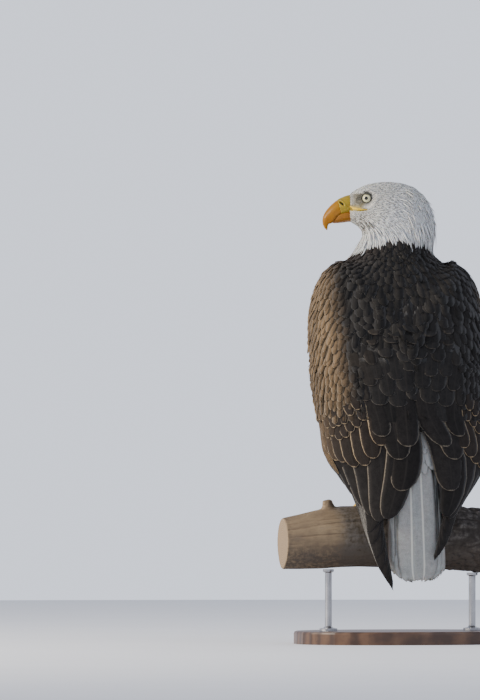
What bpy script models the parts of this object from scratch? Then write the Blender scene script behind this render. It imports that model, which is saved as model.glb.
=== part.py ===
"""A bald eagle at life size, perched on a short cut branch that a plain display stand holds up.

Metres, +Z up. The origin is the middle of the stand's underside. The body faces -Y, the bird's left is +X,
and the head is turned over the left shoulder. Heights in the tables count from the top of the branch.
"""

from math import asin, cos, pi, sin, radians, tau

import bmesh
import bpy
import numpy as np
from mathutils import Matrix, Vector

# Driving dimensions
GAP = 0.0003  # between pieces that meet
PERCH_TOP = 0.235  # height of the branch's top over the floor
BRANCH_RADIUS = 0.0535
BRANCH_HALF_LENGTH = 0.205
HEAD_CENTRE = Vector((0.013, -0.060, PERCH_TOP + 0.510))
HEAD_YAW = radians(-12.0)  # bill direction, measured from +X
EYE_RADIUS = 0.0112
FOOT_SPREAD = 0.048  # each foot's distance from the middle
WING_TIP_DROP = {"left": 0.1445, "right": 0.0950}  # below the branch's top
PRIMARIES_TOP = 0.045  # where the primaries come out under the secondaries
SECTION_POWER = 2.2  # superellipse exponent of the body's cross-sections

# The outline of body and folded wings: height, half width, y of the widest place, y of the back
OUTLINE = (
    (0.420, 0.100, -0.036, 0.018),
    (0.400, 0.125, -0.040, 0.036),
    (0.370, 0.140, -0.042, 0.057),
    (0.330, 0.151, -0.034, 0.076),
    (0.270, 0.156, -0.018, 0.096),
    (0.200, 0.155, 0.010, 0.109),
    (0.130, 0.149, 0.035, 0.118),
    (0.070, 0.142, 0.055, 0.127),
    (0.045, 0.124, 0.064, 0.131),
    (0.010, 0.108, 0.083, 0.138),
    (-0.064, 0.088, 0.120, 0.149),
    (-0.118, 0.066, 0.142, 0.153),
    (-0.145, 0.048, 0.150, 0.156),
)
# The trunk inside the wings: height, half width, y of the widest place, y of the back, y of the breast
TRUNK = (
    (0.4297, 0.0705, -0.0575, 0.0050, -0.1210),
    (0.415, 0.088, -0.053, 0.018, -0.129),
    (0.395, 0.108, -0.049, 0.032, -0.140),
    (0.360, 0.126, -0.042, 0.054, -0.150),
    (0.320, 0.132, -0.034, 0.071, -0.152),
    (0.270, 0.133, -0.020, 0.085, -0.145),
    (0.215, 0.128, 0.000, 0.097, -0.126),
    (0.165, 0.110, 0.020, 0.106, -0.098),
    (0.125, 0.086, 0.038, 0.105, -0.066),
    (0.095, 0.062, 0.050, 0.101, -0.030),
    (0.072, 0.036, 0.062, 0.094, 0.018),
)
TRUNK_END = (0.058, 0.080)  # height and y of the trunk's lowest point
# A wing's leading edge seen from the side: height, y
LEADING_EDGE = (
    (0.420, -0.066),
    (0.395, -0.092),
    (0.360, -0.106),
    (0.320, -0.100),
    (0.260, -0.062),
    (0.200, -0.018),
    (0.130, 0.024),
    (0.070, 0.050),
    (0.010, 0.080),
    (-0.064, 0.118),
    (-0.145, 0.1495),
)
# A wing's inner edge seen from behind: height, distance from the middle
INNER_EDGE = {
    "left": (
        (0.420, 0.088),
        (0.395, 0.078),
        (0.360, 0.052),
        (0.320, 0.020),
        (0.290, 0.0008),
        (0.095, 0.0008),
        (0.070, 0.0040),
        (0.030, 0.0170),
        (-0.019, 0.0390),
        (-0.035, 0.0490),
        (-0.110, 0.0470),
        (-0.145, 0.0410),
    ),
    "right": (
        (0.420, 0.088),
        (0.395, 0.078),
        (0.360, 0.052),
        (0.320, 0.020),
        (0.290, 0.0008),
        (0.170, 0.0008),
        (0.1150, 0.0360),
        (0.0480, 0.0540),
        (0.0250, 0.0545),
        (-0.0380, 0.0340),
        (-0.0750, 0.0250),
        (-0.0950, 0.0210),
    ),
}
SHOULDER_LEVELS = (0.420, 0.414, 0.402, 0.384, 0.362, 0.338, 0.312)
WING_LEVELS = (*SHOULDER_LEVELS, 0.275, 0.232, 0.190, 0.148, 0.105, 0.076, PRIMARIES_TOP)
RIGHT_TIP_INWARD = 0.020  # the right wing tip lies over the tail
RIGHT_SHOULDER_OUT = 0.005  # the right shoulder is held a little away from the body
# Wing thickness from the shoulder down: height, thickness
WING_THICKNESS = (
    (0.420, 0.008),
    (0.412, 0.022),
    (0.390, 0.034),
    (0.330, 0.034),
    (0.250, 0.027),
    (0.150, 0.017),
    (0.060, 0.0090),
    (0.000, 0.0060),
    (-0.080, 0.0042),
    (-0.145, 0.0022),
)
# Tail with its coverts: height, half width, y, depth behind y, depth in front of y
TAIL = (
    (0.150, 0.040, 0.086, 0.010, 0.012),
    (0.100, 0.051, 0.102, 0.007, 0.024),
    (0.050, 0.0540, 0.114, 0.005, 0.026),
    (0.000, 0.0540, 0.124, 0.004, 0.020),
    (-0.060, 0.0525, 0.133, 0.003, 0.008),
    (-0.105, 0.0520, 0.139, 0.0025, 0.003),
    (-0.118, 0.0485, 0.1400, 0.0022, 0.0022),
    (-0.126, 0.0400, 0.1408, 0.0020, 0.0020),
    (-0.131, 0.0240, 0.1412, 0.0018, 0.0018),
)
# Head and neck in profile: nape or crown point, throat point (forward, up), half width
NECK = (
    ((-0.0836, -0.0800), (0.0600, -0.0800), 0.0640),
    ((-0.0880, -0.0600), (0.0478, -0.0620), 0.0600),
    ((-0.0885, -0.0400), (0.0418, -0.0490), 0.0560),
)
HEAD = (
    ((-0.0885, -0.0400), (0.0418, -0.0490), 0.0560),
    ((-0.0858, -0.0200), (0.0470, -0.0415), 0.0525),
    ((-0.0790, -0.0010), (0.0520, -0.0360), 0.0485),
    ((-0.0680, 0.0175), (0.0550, -0.0330), 0.0450),
    ((-0.0500, 0.0325), (0.0572, -0.0312), 0.0425),
    ((-0.0230, 0.0402), (0.0585, -0.0300), 0.0402),
    ((0.0020, 0.0414), (0.0592, -0.0293), 0.0382),
    ((0.0250, 0.0386), (0.0598, -0.0288), 0.0350),
    ((0.0410, 0.0332), (0.0602, -0.0284), 0.0300),
    ((0.0524, 0.0262), (0.0604, -0.0280), 0.0245),
    ((0.0605, 0.0190), (0.0606, -0.0276), 0.0190),
)
# Upper mandible with the cere: ridge point, cutting-edge point (forward, up), half width
UPPER_BILL = (
    ((0.0612, 0.0170), (0.0612, -0.0125), 0.0165),
    ((0.0710, 0.0137), (0.0675, -0.0140), 0.0158),
    ((0.0801, 0.0092), (0.0738, -0.0158), 0.0146),
    ((0.0862, 0.0048), (0.0786, -0.0182), 0.0136),
    ((0.0918, -0.0003), (0.0825, -0.0220), 0.0124),
    ((0.0968, -0.0055), (0.0858, -0.0268), 0.0110),
    ((0.1010, -0.0110), (0.0892, -0.0300), 0.0094),
    ((0.1044, -0.0170), (0.0932, -0.0313), 0.0077),
    ((0.1064, -0.0240), (0.0962, -0.0322), 0.0060),
    ((0.1060, -0.0315), (0.0974, -0.0352), 0.0043),
    ((0.1033, -0.0382), (0.0980, -0.0395), 0.0024),
    ((0.0990, -0.0427), (0.0981, -0.0428), 0.0007),
)
CERE_STATIONS = 2.0  # how many stations of the upper mandible the cere takes
LOWER_BILL = (
    ((0.0612, -0.0100), (0.0609, -0.0280), 0.0158),
    ((0.0690, -0.0110), (0.0690, -0.0294), 0.0146),
    ((0.0765, -0.0130), (0.0770, -0.0302), 0.0128),
    ((0.0825, -0.0165), (0.0835, -0.0306), 0.0106),
    ((0.0872, -0.0210), (0.0880, -0.0307), 0.0078),
    ((0.0905, -0.0260), (0.0908, -0.0300), 0.0040),
)
EYE_PLACE = (0.0299, 0.0114, 0.0214)  # forward, up, sideways from the head's centre
BROW = 0.0045  # how far the brow juts out
EYE_FORWARD = radians(14.0)  # how far the eyes look forward
# Thigh: height, half width, y, radius
THIGH = (
    (0.235, 0.050, -0.020, 0.012),
    (0.208, 0.055, -0.029, 0.032),
    (0.170, 0.058, -0.034, 0.043),
    (0.130, 0.057, -0.036, 0.044),
    (0.095, 0.054, -0.031, 0.038),
    (0.065, 0.051, -0.021, 0.028),
    (0.045, 0.049, -0.012, 0.021),
)
# Lower leg and sole: height, y, radius
TARSUS = (
    (0.075, -0.022, 0.0085),
    (0.045, -0.011, 0.0092),
    (0.030, -0.005, 0.0088),
    (0.021, -0.002, 0.0105),
    (0.014, 0.000, 0.0150),
    (0.006, 0.000, 0.0145),
    (0.0006, 0.000, 0.0095),
)
# Toes: direction on the branch (0 straight ahead, degrees outward), length, base radius, claw length
TOES = {
    "inner": (-27.0, 0.050, 0.0078, 0.032),
    "middle": (0.0, 0.066, 0.0082, 0.030),
    "outer": (33.0, 0.056, 0.0072, 0.026),
    "hind": (172.0, 0.040, 0.0080, 0.036),
}
TOE_START = 0.011  # distance of a toe's root from the foot's middle
BASE_HALF = Vector((0.180, 0.135, 0.011))
ROD_PLACE = 0.125  # distance of each rod from the middle
ROD_RADIUS = 0.006

MATERIALS = {
    "head_feathers": ((0.80, 0.80, 0.78), 0.85, 0.0),
    "body_feathers": ((0.035, 0.026, 0.020), 0.80, 0.0),
    "wing_feathers": ((0.075, 0.055, 0.038), 0.75, 0.0),
    "flight_feathers": ((0.022, 0.018, 0.016), 0.65, 0.0),
    "tail_feathers": ((0.66, 0.66, 0.64), 0.75, 0.0),
    "bill_horn": ((0.72, 0.36, 0.04), 0.40, 0.0),
    "cere_skin": ((0.70, 0.50, 0.04), 0.50, 0.0),
    "eye": ((0.62, 0.62, 0.42), 0.08, 0.0),
    "leg_scales": ((0.74, 0.50, 0.06), 0.55, 0.0),
    "claw_horn": ((0.012, 0.011, 0.011), 0.28, 0.0),
    "branch_wood": ((0.34, 0.25, 0.16), 0.85, 0.0),
    "base_wood": ((0.10, 0.055, 0.030), 0.40, 0.0),
    "rod_steel": ((0.30, 0.29, 0.28), 0.35, 1.0),
}

FORWARD = Vector((cos(HEAD_YAW), sin(HEAD_YAW), 0.0))
UP = Vector((0.0, 0.0, 1.0))
HEAD_LEFT = UP.cross(FORWARD)


def clear_scene():
    for obj in list(bpy.data.objects):
        bpy.data.objects.remove(obj, do_unlink=True)


def material(name):
    made = bpy.data.materials.get(name)
    if made is None:
        colour, roughness, metallic = MATERIALS[name]
        made = bpy.data.materials.new(name)
        made.use_nodes = True
        shader = made.node_tree.nodes["Principled BSDF"]
        shader.inputs["Base Color"].default_value = (*colour, 1.0)
        shader.inputs["Roughness"].default_value = roughness
        shader.inputs["Metallic"].default_value = metallic
    return made


def read_table(table, at):
    """Row of a table at a key, on a smooth curve through its rows. Keys may rise or fall."""
    rows = np.array(table, float)
    if rows[0, 0] > rows[-1, 0]:
        rows = rows[::-1]
    keys, values = rows[:, 0], rows[:, 1:]
    slopes = np.gradient(values, keys, axis=0)
    steps = np.diff(values, axis=0) / np.diff(keys)[:, None]
    for i in range(1, len(keys) - 1):
        flat = steps[i - 1] * steps[i] <= 0
        slopes[i][flat] = 0.0
    i = int(np.clip(np.searchsorted(keys, at) - 1, 0, len(keys) - 2))
    span = keys[i + 1] - keys[i]
    t = float(np.clip((at - keys[i]) / span, 0.0, 1.0))
    a, b = 2 * t**3 - 3 * t**2 + 1, t**3 - 2 * t**2 + t
    c, d = -2 * t**3 + 3 * t**2, t**3 - t**2
    return a * values[i] + b * span * slopes[i] + c * values[i + 1] + d * span * slopes[i + 1]


def solid(name, finish, rings, ends=(None, None), folded=False):
    """A closed solid through rings of equal length. Its ends are points, or the middles of the end rings.

    Folded rings run out along one side of a thin shape and back along the other.
    """
    mesh = bmesh.new()
    rows = [[mesh.verts.new(p) for p in ring] for ring in rings]
    count = len(rows[0])
    for low, high in zip(rows, rows[1:]):
        for i in range(count):
            j = (i + 1) % count
            mesh.faces.new((low[i], low[j], high[j], high[i]))
    for row, tip in ((rows[0], ends[0]), (rows[-1], ends[1])):
        if folded:
            for i in range(count // 2 - 1):
                mesh.faces.new((row[i], row[i + 1], row[count - 2 - i], row[count - 1 - i]))
            continue
        end = mesh.verts.new(sum((v.co for v in row), Vector()) / count if tip is None else tip)
        for i in range(count):
            mesh.faces.new((row[i], row[(i + 1) % count], end))
    # Plain triangles, so that a piece and the cutter grown from it bend along the same edges.
    bmesh.ops.triangulate(mesh, faces=mesh.faces)
    bmesh.ops.recalc_face_normals(mesh, faces=mesh.faces)
    if mesh.calc_volume(signed=True) < 0:
        bmesh.ops.reverse_faces(mesh, faces=mesh.faces)
    data = bpy.data.meshes.new(name)
    mesh.to_mesh(data)
    mesh.free()
    data.materials.append(material(finish))
    data.shade_smooth()
    data.set_sharp_from_angle(angle=radians(40))
    obj = bpy.data.objects.new(name, data)
    bpy.context.scene.collection.objects.link(obj)
    return obj


def grown(obj, by=GAP):
    """A hidden copy of a solid, larger all round by the gap, that cuts its neighbours."""
    data = obj.data.copy()
    mesh = bmesh.new()
    mesh.from_mesh(data)
    mesh.normal_update()
    moves = [v.normal * by for v in mesh.verts]
    for vert, move in zip(mesh.verts, moves):
        vert.co += move
    mesh.to_mesh(data)
    mesh.free()
    cutter = bpy.data.objects.new("cut_" + obj.name, data)
    bpy.context.scene.collection.objects.link(cutter)
    cutter.hide_render = True
    cutter.display_type = "WIRE"
    return cutter


def cut(obj, cutter):
    boolean = obj.modifiers.new("cut", "BOOLEAN")
    boolean.operation = "DIFFERENCE"
    boolean.object = cutter
    boolean.solver = "EXACT"


def signed_power(value, power):
    return abs(value) ** power * (1 if value >= 0 else -1)


def section_point(angle, half_width, side_y, back_y, front_y, middle_x=0.0):
    """A point of a horizontal section: angle 0 is the back, a quarter turn left, a half turn the front."""
    depth = back_y - side_y if cos(angle) >= 0 else side_y - front_y
    power = 2 / SECTION_POWER
    x = half_width * signed_power(sin(angle), power)
    y = side_y + depth * signed_power(cos(angle), power)
    return Vector((middle_x + x, y, 0.0))


def at_height(point, height):
    return Vector((point.x, point.y, PERCH_TOP + height))


def trunk_ring(height, count=26):
    half_width, side_y, back_y, front_y = read_table(TRUNK, height)
    # The neck stands a little to the left of the middle, as the head is turned that way.
    lean = 0.0014 * max(0.0, (height - 0.36) / (TRUNK[0][0] - 0.36)) ** 2
    ring = [section_point(tau * i / count, half_width, side_y, back_y, front_y, lean) for i in range(count)]
    return [at_height(point, height) for point in ring]


def make_trunk():
    # The same levels as the wings, so that the two surfaces bend together.
    shared = [level for level in reversed(WING_LEVELS) if level > 0.08]
    rings = [trunk_ring(level) for level in (TRUNK[-1][0], *shared, TRUNK[0][0])]
    bottom = at_height(Vector((0.0, TRUNK_END[1], 0.0)), TRUNK_END[0])
    return solid("trunk", "body_feathers", rings, (bottom, None))


def wing_outline(side, height):
    """Half width, widest y, back y, leading-edge y, inner-edge x and core of a wing's section."""
    drop = WING_TIP_DROP[side]
    below = max(0.0, (PRIMARIES_TOP - height) / (PRIMARIES_TOP + drop))
    # The shorter drop of the right wing tip squeezes the same outline.
    on_left = PRIMARIES_TOP - below * (PRIMARIES_TOP + WING_TIP_DROP["left"]) if below else height
    half_width, side_y, back_y = read_table(OUTLINE, on_left)
    lead_y = read_table(LEADING_EDGE, on_left)[0]
    inner_x = read_table(INNER_EDGE[side], height)[0]
    if side == "right":
        half_width += RIGHT_SHOULDER_OUT * np.exp(-(((height - 0.37) / 0.05) ** 2))
        eased = min(1.0, below / 0.5)
        half_width -= RIGHT_TIP_INWARD * eased * eased * (3 - 2 * eased)
    core = Vector((0.3 * half_width, side_y - 0.03 - 0.10 * below, 0.0))
    return half_width, side_y, back_y, lead_y, inner_x, core


def wing_ring(side, height, columns=8):
    """A loop round a wing at one height: the outer face from inner to leading edge, then the inner face."""
    half_width, side_y, back_y, lead_y, inner_x, core = wing_outline(side, height)
    front_y = 2 * side_y - back_y - 0.035
    start = asin(min(0.999, inner_x / half_width) ** (SECTION_POWER / 2))
    reach = (lead_y - side_y) / (side_y - front_y)
    end = pi / 2 + asin(min(0.999, max(0.0, -reach)) ** (SECTION_POWER / 2))
    thickness = read_table(WING_THICKNESS, height)[0]
    outer, inner = [], []
    for i in range(columns + 1):
        share = i / columns
        angle = start + (end - start) * share
        here = section_point(angle, half_width, side_y, back_y, front_y)
        # The inner edge is thin, and the leading edge is as thick as the arm that it holds.
        taper = 0.45 + 0.55 * min(1.0, share * 3) - 0.25 * max(0.0, share * 4 - 3)
        outer.append(here)
        inner.append(here + (core - here).normalized() * thickness * taper)
    loop = outer + inner[::-1]
    mirror = -1 if side == "right" else 1
    return [at_height(Vector((p.x * mirror, p.y, 0.0)), height) for p in loop]


def make_wing(side):
    arm = solid(f"wing_{side}", "wing_feathers", [wing_ring(side, h) for h in WING_LEVELS], folded=True)
    tip = -WING_TIP_DROP[side]
    rings = [wing_ring(side, h) for h in (*np.linspace(PRIMARIES_TOP - GAP, tip + 0.010, 7), tip)]
    return [arm, solid(f"wing_{side}_primaries", "flight_feathers", rings, folded=True)]


def make_tail():
    rings = []
    for height in (*np.linspace(TAIL[0][0], -0.105, 8), -0.118, -0.126, -0.131):
        half_width, y, behind, before = read_table(TAIL, height)
        ring = []
        for i in range(16):
            angle = tau * i / 16
            x = half_width * signed_power(sin(angle), 0.75)
            arch = 2.2 * x * x  # the closed tail is a shallow roof
            depth = behind if cos(angle) > 0 else before
            ring.append(at_height(Vector((x, y + depth * cos(angle) - arch, 0)), height))
        rings.append(ring)
    return solid("tail", "tail_feathers", rings)


def head_point(forward, up, sideways):
    return HEAD_CENTRE + FORWARD * forward + UP * up + HEAD_LEFT * sideways


def profile_ring(top, bottom, half_width, count, egg=0.0, flat=0):
    """A ring across the head's profile. A positive egg makes its lower part the wider one.

    Flat is 1 for a flat top, as of the lower mandible, and -1 for a flat underside.
    """
    top, bottom = Vector(top), Vector(bottom)
    middle, reach = (top + bottom) / 2, (top - bottom) / 2
    ring = []
    for i in range(count):
        angle = tau * i / count
        power = 0.45 if cos(angle) * flat > 0.001 else 1.0
        place = middle + reach * signed_power(cos(angle), power)
        width = half_width * signed_power(sin(angle), power) * (1 - egg * cos(angle))
        ring.append(head_point(place.x, place.y, width))
    return ring


def profile_rings(stations, places, count, egg=0.0, flat=0, shift=0.0):
    """Rings at fractional places along a list of profile stations."""
    rows = [(i, *top, *bottom, width) for i, (top, bottom, width) in enumerate(stations)]
    rings = []
    for place in places:
        ax, ay, bx, by, width = read_table(rows, place)
        rings.append(profile_ring((ax + shift, ay), (bx + shift, by), width, count, egg, flat))
    return rings


def make_neck():
    rings = profile_rings(NECK, np.linspace(0, 2, 4), 26)
    lowered = [[p - UP * GAP for p in rings[-1]]]
    return solid("neck", "head_feathers", rings[:-1] + lowered)


def browed(point):
    """The same point, pushed out where the brow juts over the eye."""
    from_centre = point - HEAD_CENTRE
    forward, up, sideways = from_centre.dot(FORWARD), from_centre.z, from_centre.dot(HEAD_LEFT)
    along = forward - 0.035
    near = np.exp(-((along / 0.013) ** 2) - ((up - 0.0215 + 0.25 * along) / 0.0065) ** 2)
    return point + HEAD_LEFT * (BROW * near if sideways > 0 else -BROW * near)


def make_head():
    places = (0, 1, 2, 3, 4, 4.8, 5.5, 6.1, 6.7, 7.3, 7.9, 8.5, 9.2, 10)
    rings = [[browed(p) for p in ring] for ring in profile_rings(HEAD, places, 26)]
    head = solid("head", "head_feathers", rings)
    for side, sign in (("left", 1), ("right", -1)):
        cut(head, eye_socket(side, sign))
    return head


def eye_axis(sign):
    return (HEAD_LEFT * sign * cos(EYE_FORWARD) + FORWARD * sin(EYE_FORWARD)).normalized()


def turned_rings(centre, axis, profile, count):
    """Rings about an axis from a profile of (distance along the axis, radius)."""
    frame = axis.to_track_quat("Z", "Y").to_matrix()
    return [
        [
            centre + frame @ Vector((r * cos(tau * i / count), r * sin(tau * i / count), along))
            for i in range(count)
        ]
        for along, r in profile
    ]


def make_eyes():
    eyes = []
    for side, sign in (("left", 1), ("right", -1)):
        forward, up, sideways = EYE_PLACE
        centre = head_point(forward, up, sideways * sign)
        axis = eye_axis(sign)
        angles = np.linspace(0.30, pi - 0.30, 7)
        profile = [(-EYE_RADIUS * cos(a), EYE_RADIUS * sin(a)) for a in angles]
        ends = (centre - axis * EYE_RADIUS, centre + axis * EYE_RADIUS)
        eyes.append(solid(f"eye_{side}", "eye", turned_rings(centre, axis, profile, 12), ends))
    return eyes


def eye_socket(side, sign):
    """A hidden cutter: the eyeball's room, opening outwards between the lids."""
    forward, up, sideways = EYE_PLACE
    centre = head_point(forward, up, sideways * sign)
    room = EYE_RADIUS + GAP * 2
    profile = [(-room * cos(a), room * sin(a)) for a in np.linspace(0.30, pi * 0.68, 5)]
    profile += [(room * 0.9, room * 0.76), (room * 2.0, room * 0.95)]
    axis = eye_axis(sign)
    cutter = solid(f"cut_socket_{side}", "eye", turned_rings(centre, axis, profile, 12))
    cutter.hide_render = True
    cutter.display_type = "WIRE"
    return cutter


def make_bill():
    last = len(UPPER_BILL) - 1
    places = np.linspace(0, CERE_STATIONS, 4)
    cere = solid("cere", "cere_skin", profile_rings(UPPER_BILL, places, 16, 0.08, -1))
    places = np.linspace(CERE_STATIONS, last, 11)
    rings = profile_rings(UPPER_BILL, places, 16, 0.08, -1, GAP)
    upper = solid("bill_upper", "bill_horn", rings, (None, head_point(0.0984, -0.0430, 0.0)))
    rings = profile_rings(LOWER_BILL, np.linspace(0, 5, 6), 14, -0.06, 1)
    lower = solid("bill_lower", "bill_horn", rings)
    cut(lower, grown(upper))
    cut(lower, grown(cere))
    return [cere, upper, lower]


def round_ring(x, y, height, wide, deep, count):
    turns = [tau * i / count for i in range(count)]
    return [at_height(Vector((x + wide * cos(t), y + deep * sin(t), 0.0)), height) for t in turns]


def make_leg(side, sign):
    rings = []
    for height in np.linspace(THIGH[0][0], THIGH[-1][0], 7):
        x, y, radius = read_table(THIGH, height)
        rings.append(round_ring(x * sign, y, height, radius * 0.9, radius, 14))
    thigh = solid(f"thigh_{side}", "body_feathers", rings)
    rings = []
    for height, y, radius in TARSUS:
        rings.append(round_ring(FOOT_SPREAD * sign, y, height, radius, radius, 12))
    tarsus = solid(f"tarsus_{side}", "leg_scales", rings)
    cut(thigh, grown(tarsus))
    toes = [make_toe(side, sign, name) for name in TOES]
    for toe, claw in toes:
        cut(toe, grown(tarsus))
        cut(claw, grown(toe))
    middle = grown(toes[1][0])
    for place in (0, 2):
        cut(toes[place][0], middle)
    return thigh


def branch_point(foot_x, along, heading, height):
    """A point over the branch, by distance from the foot's middle, heading and height over the wood."""
    x = foot_x + along * sin(heading)
    turn = along * cos(heading) / BRANCH_RADIUS
    reach = BRANCH_RADIUS + height
    return Vector((x, -reach * sin(turn), PERCH_TOP - BRANCH_RADIUS + reach * cos(turn)))


def tube_rings(path, radii, count):
    rings = []
    across = (path[1] - path[0]).cross(UP).normalized()
    for i, point in enumerate(path):
        along = (path[min(i + 1, len(path) - 1)] - path[max(i - 1, 0)]).normalized()
        across = (across - along * across.dot(along)).normalized()
        over = across.cross(along)
        rings.append(
            [
                point + (across * cos(tau * k / count) + over * sin(tau * k / count)) * radii[i]
                for k in range(count)
            ]
        )
    return rings


def make_toe(side, sign, name):
    degrees, length, base_radius, claw_length = TOES[name]
    heading = radians(degrees) * sign
    foot_x = FOOT_SPREAD * sign
    path, radii = [], []
    steps = 5
    for i in range(steps + 1):
        share = i / steps
        knuckles = 1 + 0.05 * cos(pi * i)
        radius = base_radius * (1 - 0.30 * share) * knuckles
        radii.append(radius)
        path.append(branch_point(foot_x, TOE_START + length * share, heading, radius + GAP * 3))
    for beyond, narrower in ((0.0022, 0.88), (0.0036, 0.62)):
        path.append(branch_point(foot_x, TOE_START + length + beyond, heading, radii[steps] + GAP * 3))
        radii.append(radii[steps] * narrower)
    toe = solid(f"toe_{side}_{name}", "leg_scales", tube_rings(path, radii, 7))
    end_radius, end_height = radii[steps], radii[steps] + GAP * 3
    path, radii = [], []
    for i in range(6):
        share = i / 5
        along = TOE_START + length - 0.0005 + claw_length * 0.80 * sin(share * pi / 2)
        # The claw rises off the toe, then curves down to the wood.
        height = end_height + 0.0055 * sin(pi * share) - (end_height - 0.0016) * share**2
        radii.append(max(0.0006, end_radius * 0.80 * (1 - share) ** 0.75))
        path.append(branch_point(foot_x, along, heading, height))
    claw = solid(f"claw_{side}_{name}", "claw_horn", tube_rings(path, radii, 6))
    return toe, claw


def branch_point_at(x, turn):
    """A point of the branch's surface, by place and turn from the top. It is round under the feet."""
    away = max(0.0, abs(x) - 0.095)
    slope, swell = (0.11, -0.30) if x > 0 else (0.17, 0.16)
    drop = slope * away * away / (away + 0.02)
    radius = BRANCH_RADIUS + swell * away**1.5
    radius += 0.0022 * sin(3 * turn + 21 * x) * (0.5 - 0.5 * cos(turn)) ** 2
    return Vector((x, radius * sin(turn), PERCH_TOP - BRANCH_RADIUS - drop + radius * cos(turn)))


def make_perch():
    places = np.linspace(-BRANCH_HALF_LENGTH, BRANCH_HALF_LENGTH, 13)
    rings = [[branch_point_at(x, tau * i / 26) for i in range(26)] for x in places]
    branch = solid("perch_branch", "branch_wood", rings)
    stub_foot = branch_point_at(0.122, 0.0) - UP * 0.016
    profile = [(0.0, 0.0140), (0.016, 0.0125), (0.020, 0.0100), (0.024, 0.0092), (0.029, 0.0085)]
    stub_axis = Vector((0.22, 0.10, 1.0)).normalized()
    stub = solid("twig_stub", "branch_wood", turned_rings(stub_foot, stub_axis, profile, 10))
    stub.hide_render = True
    stub.display_type = "WIRE"
    join = branch.modifiers.new("join", "BOOLEAN")
    join.operation = "UNION"
    join.object = stub
    join.solver = "EXACT"
    return branch


def make_stand():
    rings = []
    full, edge = BASE_HALF.z * 2, 0.004
    for height, inset in ((0.0, 0.0), (full - edge, 0.0), (full - edge * 0.3, edge * 0.3), (full, edge)):
        ring = []
        for i in range(32):
            angle = tau * i / 32
            x = (BASE_HALF.x - inset) * signed_power(cos(angle), 0.8)
            y = (BASE_HALF.y - inset) * signed_power(sin(angle), 0.8)
            ring.append(Vector((x, y, height)))
        rings.append(ring)
    base = solid("stand_base", "base_wood", rings)
    rods = []
    for side, sign in (("left", 1), ("right", -1)):
        x = ROD_PLACE * sign
        steps = (-1, -0.5, 0, 0.5, 1)
        under = min(branch_point_at(x + 0.01 * i, pi + 0.18 * j).z for i in steps for j in steps)
        low, high = full + GAP, under - GAP * 3
        profile = [
            (low, ROD_RADIUS * 2.6),
            (low + 0.004, ROD_RADIUS * 2.6),
            (low + 0.0055, ROD_RADIUS * 1.4),
            (low + 0.008, ROD_RADIUS),
            (high - 0.006, ROD_RADIUS),
            (high - 0.004, ROD_RADIUS * 1.6),
            (high, ROD_RADIUS * 1.6),
        ]
        rings = turned_rings(Vector((x, 0, 0)), UP, profile, 12)
        rods.append(solid(f"stand_rod_{side}", "rod_steel", rings))
    return base, rods


def main():
    clear_scene()
    trunk, tail = make_trunk(), make_tail()
    wings = make_wing("left") + make_wing("right")
    for wing in wings:
        cutter = grown(wing)
        cut(trunk, cutter)
        cut(tail, cutter)
    cut(trunk, grown(tail))
    make_neck()
    make_head()
    make_eyes()
    make_bill()
    for side, sign in (("left", 1), ("right", -1)):
        cut(trunk, grown(make_leg(side, sign)))
    make_perch()
    make_stand()


main()
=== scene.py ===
import math

import bpy
import numpy as np
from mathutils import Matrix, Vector
from mathutils.bvhtree import BVHTree


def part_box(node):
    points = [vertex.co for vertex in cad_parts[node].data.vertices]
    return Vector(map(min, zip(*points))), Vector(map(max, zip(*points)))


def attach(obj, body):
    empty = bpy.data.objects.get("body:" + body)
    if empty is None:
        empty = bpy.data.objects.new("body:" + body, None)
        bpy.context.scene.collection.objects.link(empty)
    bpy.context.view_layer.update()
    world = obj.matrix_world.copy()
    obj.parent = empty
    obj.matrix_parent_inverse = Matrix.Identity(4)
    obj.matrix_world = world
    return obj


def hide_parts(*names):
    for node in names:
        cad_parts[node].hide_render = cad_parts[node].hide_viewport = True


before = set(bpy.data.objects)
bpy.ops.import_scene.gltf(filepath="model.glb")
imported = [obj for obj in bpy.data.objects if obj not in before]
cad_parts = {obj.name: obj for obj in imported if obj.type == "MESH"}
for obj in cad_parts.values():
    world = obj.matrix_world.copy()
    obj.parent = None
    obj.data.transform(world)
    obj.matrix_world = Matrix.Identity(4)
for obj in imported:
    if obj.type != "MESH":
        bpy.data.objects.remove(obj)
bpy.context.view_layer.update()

# the bird's own measures, in metres
bird = {
    "perchMiddle": 0.180,  # height of the branch's middle line between the feet
    "headCentre": (0.013, -0.060, 0.745),
    "headTurn": math.radians(-12),
    "eyePlace": (0.0299, 0.0214, 0.0114),  # forward, sideways and up from the head's centre
    "eyeRadius": 0.0112,
    "eyeForward": math.radians(14),
    "collarHeight": 0.6685,  # where the white hackles end, at the side of the neck
    "collarRise": 0.0250,  # higher at the nape, lower at the breast
}
headCentre = np.array(bird["headCentre"])
forward = np.array((math.cos(bird["headTurn"]), math.sin(bird["headTurn"]), 0.0))
leftward = np.array((-forward[1], forward[0], 0.0))
upward = np.array((0.0, 0.0, 1.0))


# small helpers

def headPlace(ahead, side, up):
    return headCentre + forward * ahead + leftward * side + upward * up


def headCoordinates(points):
    offset = points - headCentre
    return offset @ forward, offset @ leftward, offset @ upward


def unit(vectors):
    return vectors / np.maximum(np.linalg.norm(vectors, axis=-1, keepdims=True), 1e-12)


def smoothStep(low, high, values):
    t = np.clip((values - low) / (high - low), 0, 1)
    return t * t * (3 - 2 * t)


def fade(low, high, values):  # 1 up to low, 0 from high on
    return 1 - smoothStep(low, high, values)


def mix(first, second, share):
    share = np.asarray(share)[..., None]
    return np.asarray(first) * (1 - share) + np.asarray(second) * share


def mixNumbers(first, second, share):
    return first * (1 - share) + second * share


def selectOnly(piece):
    if bpy.context.mode != "OBJECT":
        bpy.ops.object.mode_set(mode="OBJECT")
    bpy.ops.object.select_all(action="DESELECT")
    piece.select_set(True)
    bpy.context.view_layer.objects.active = piece


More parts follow.
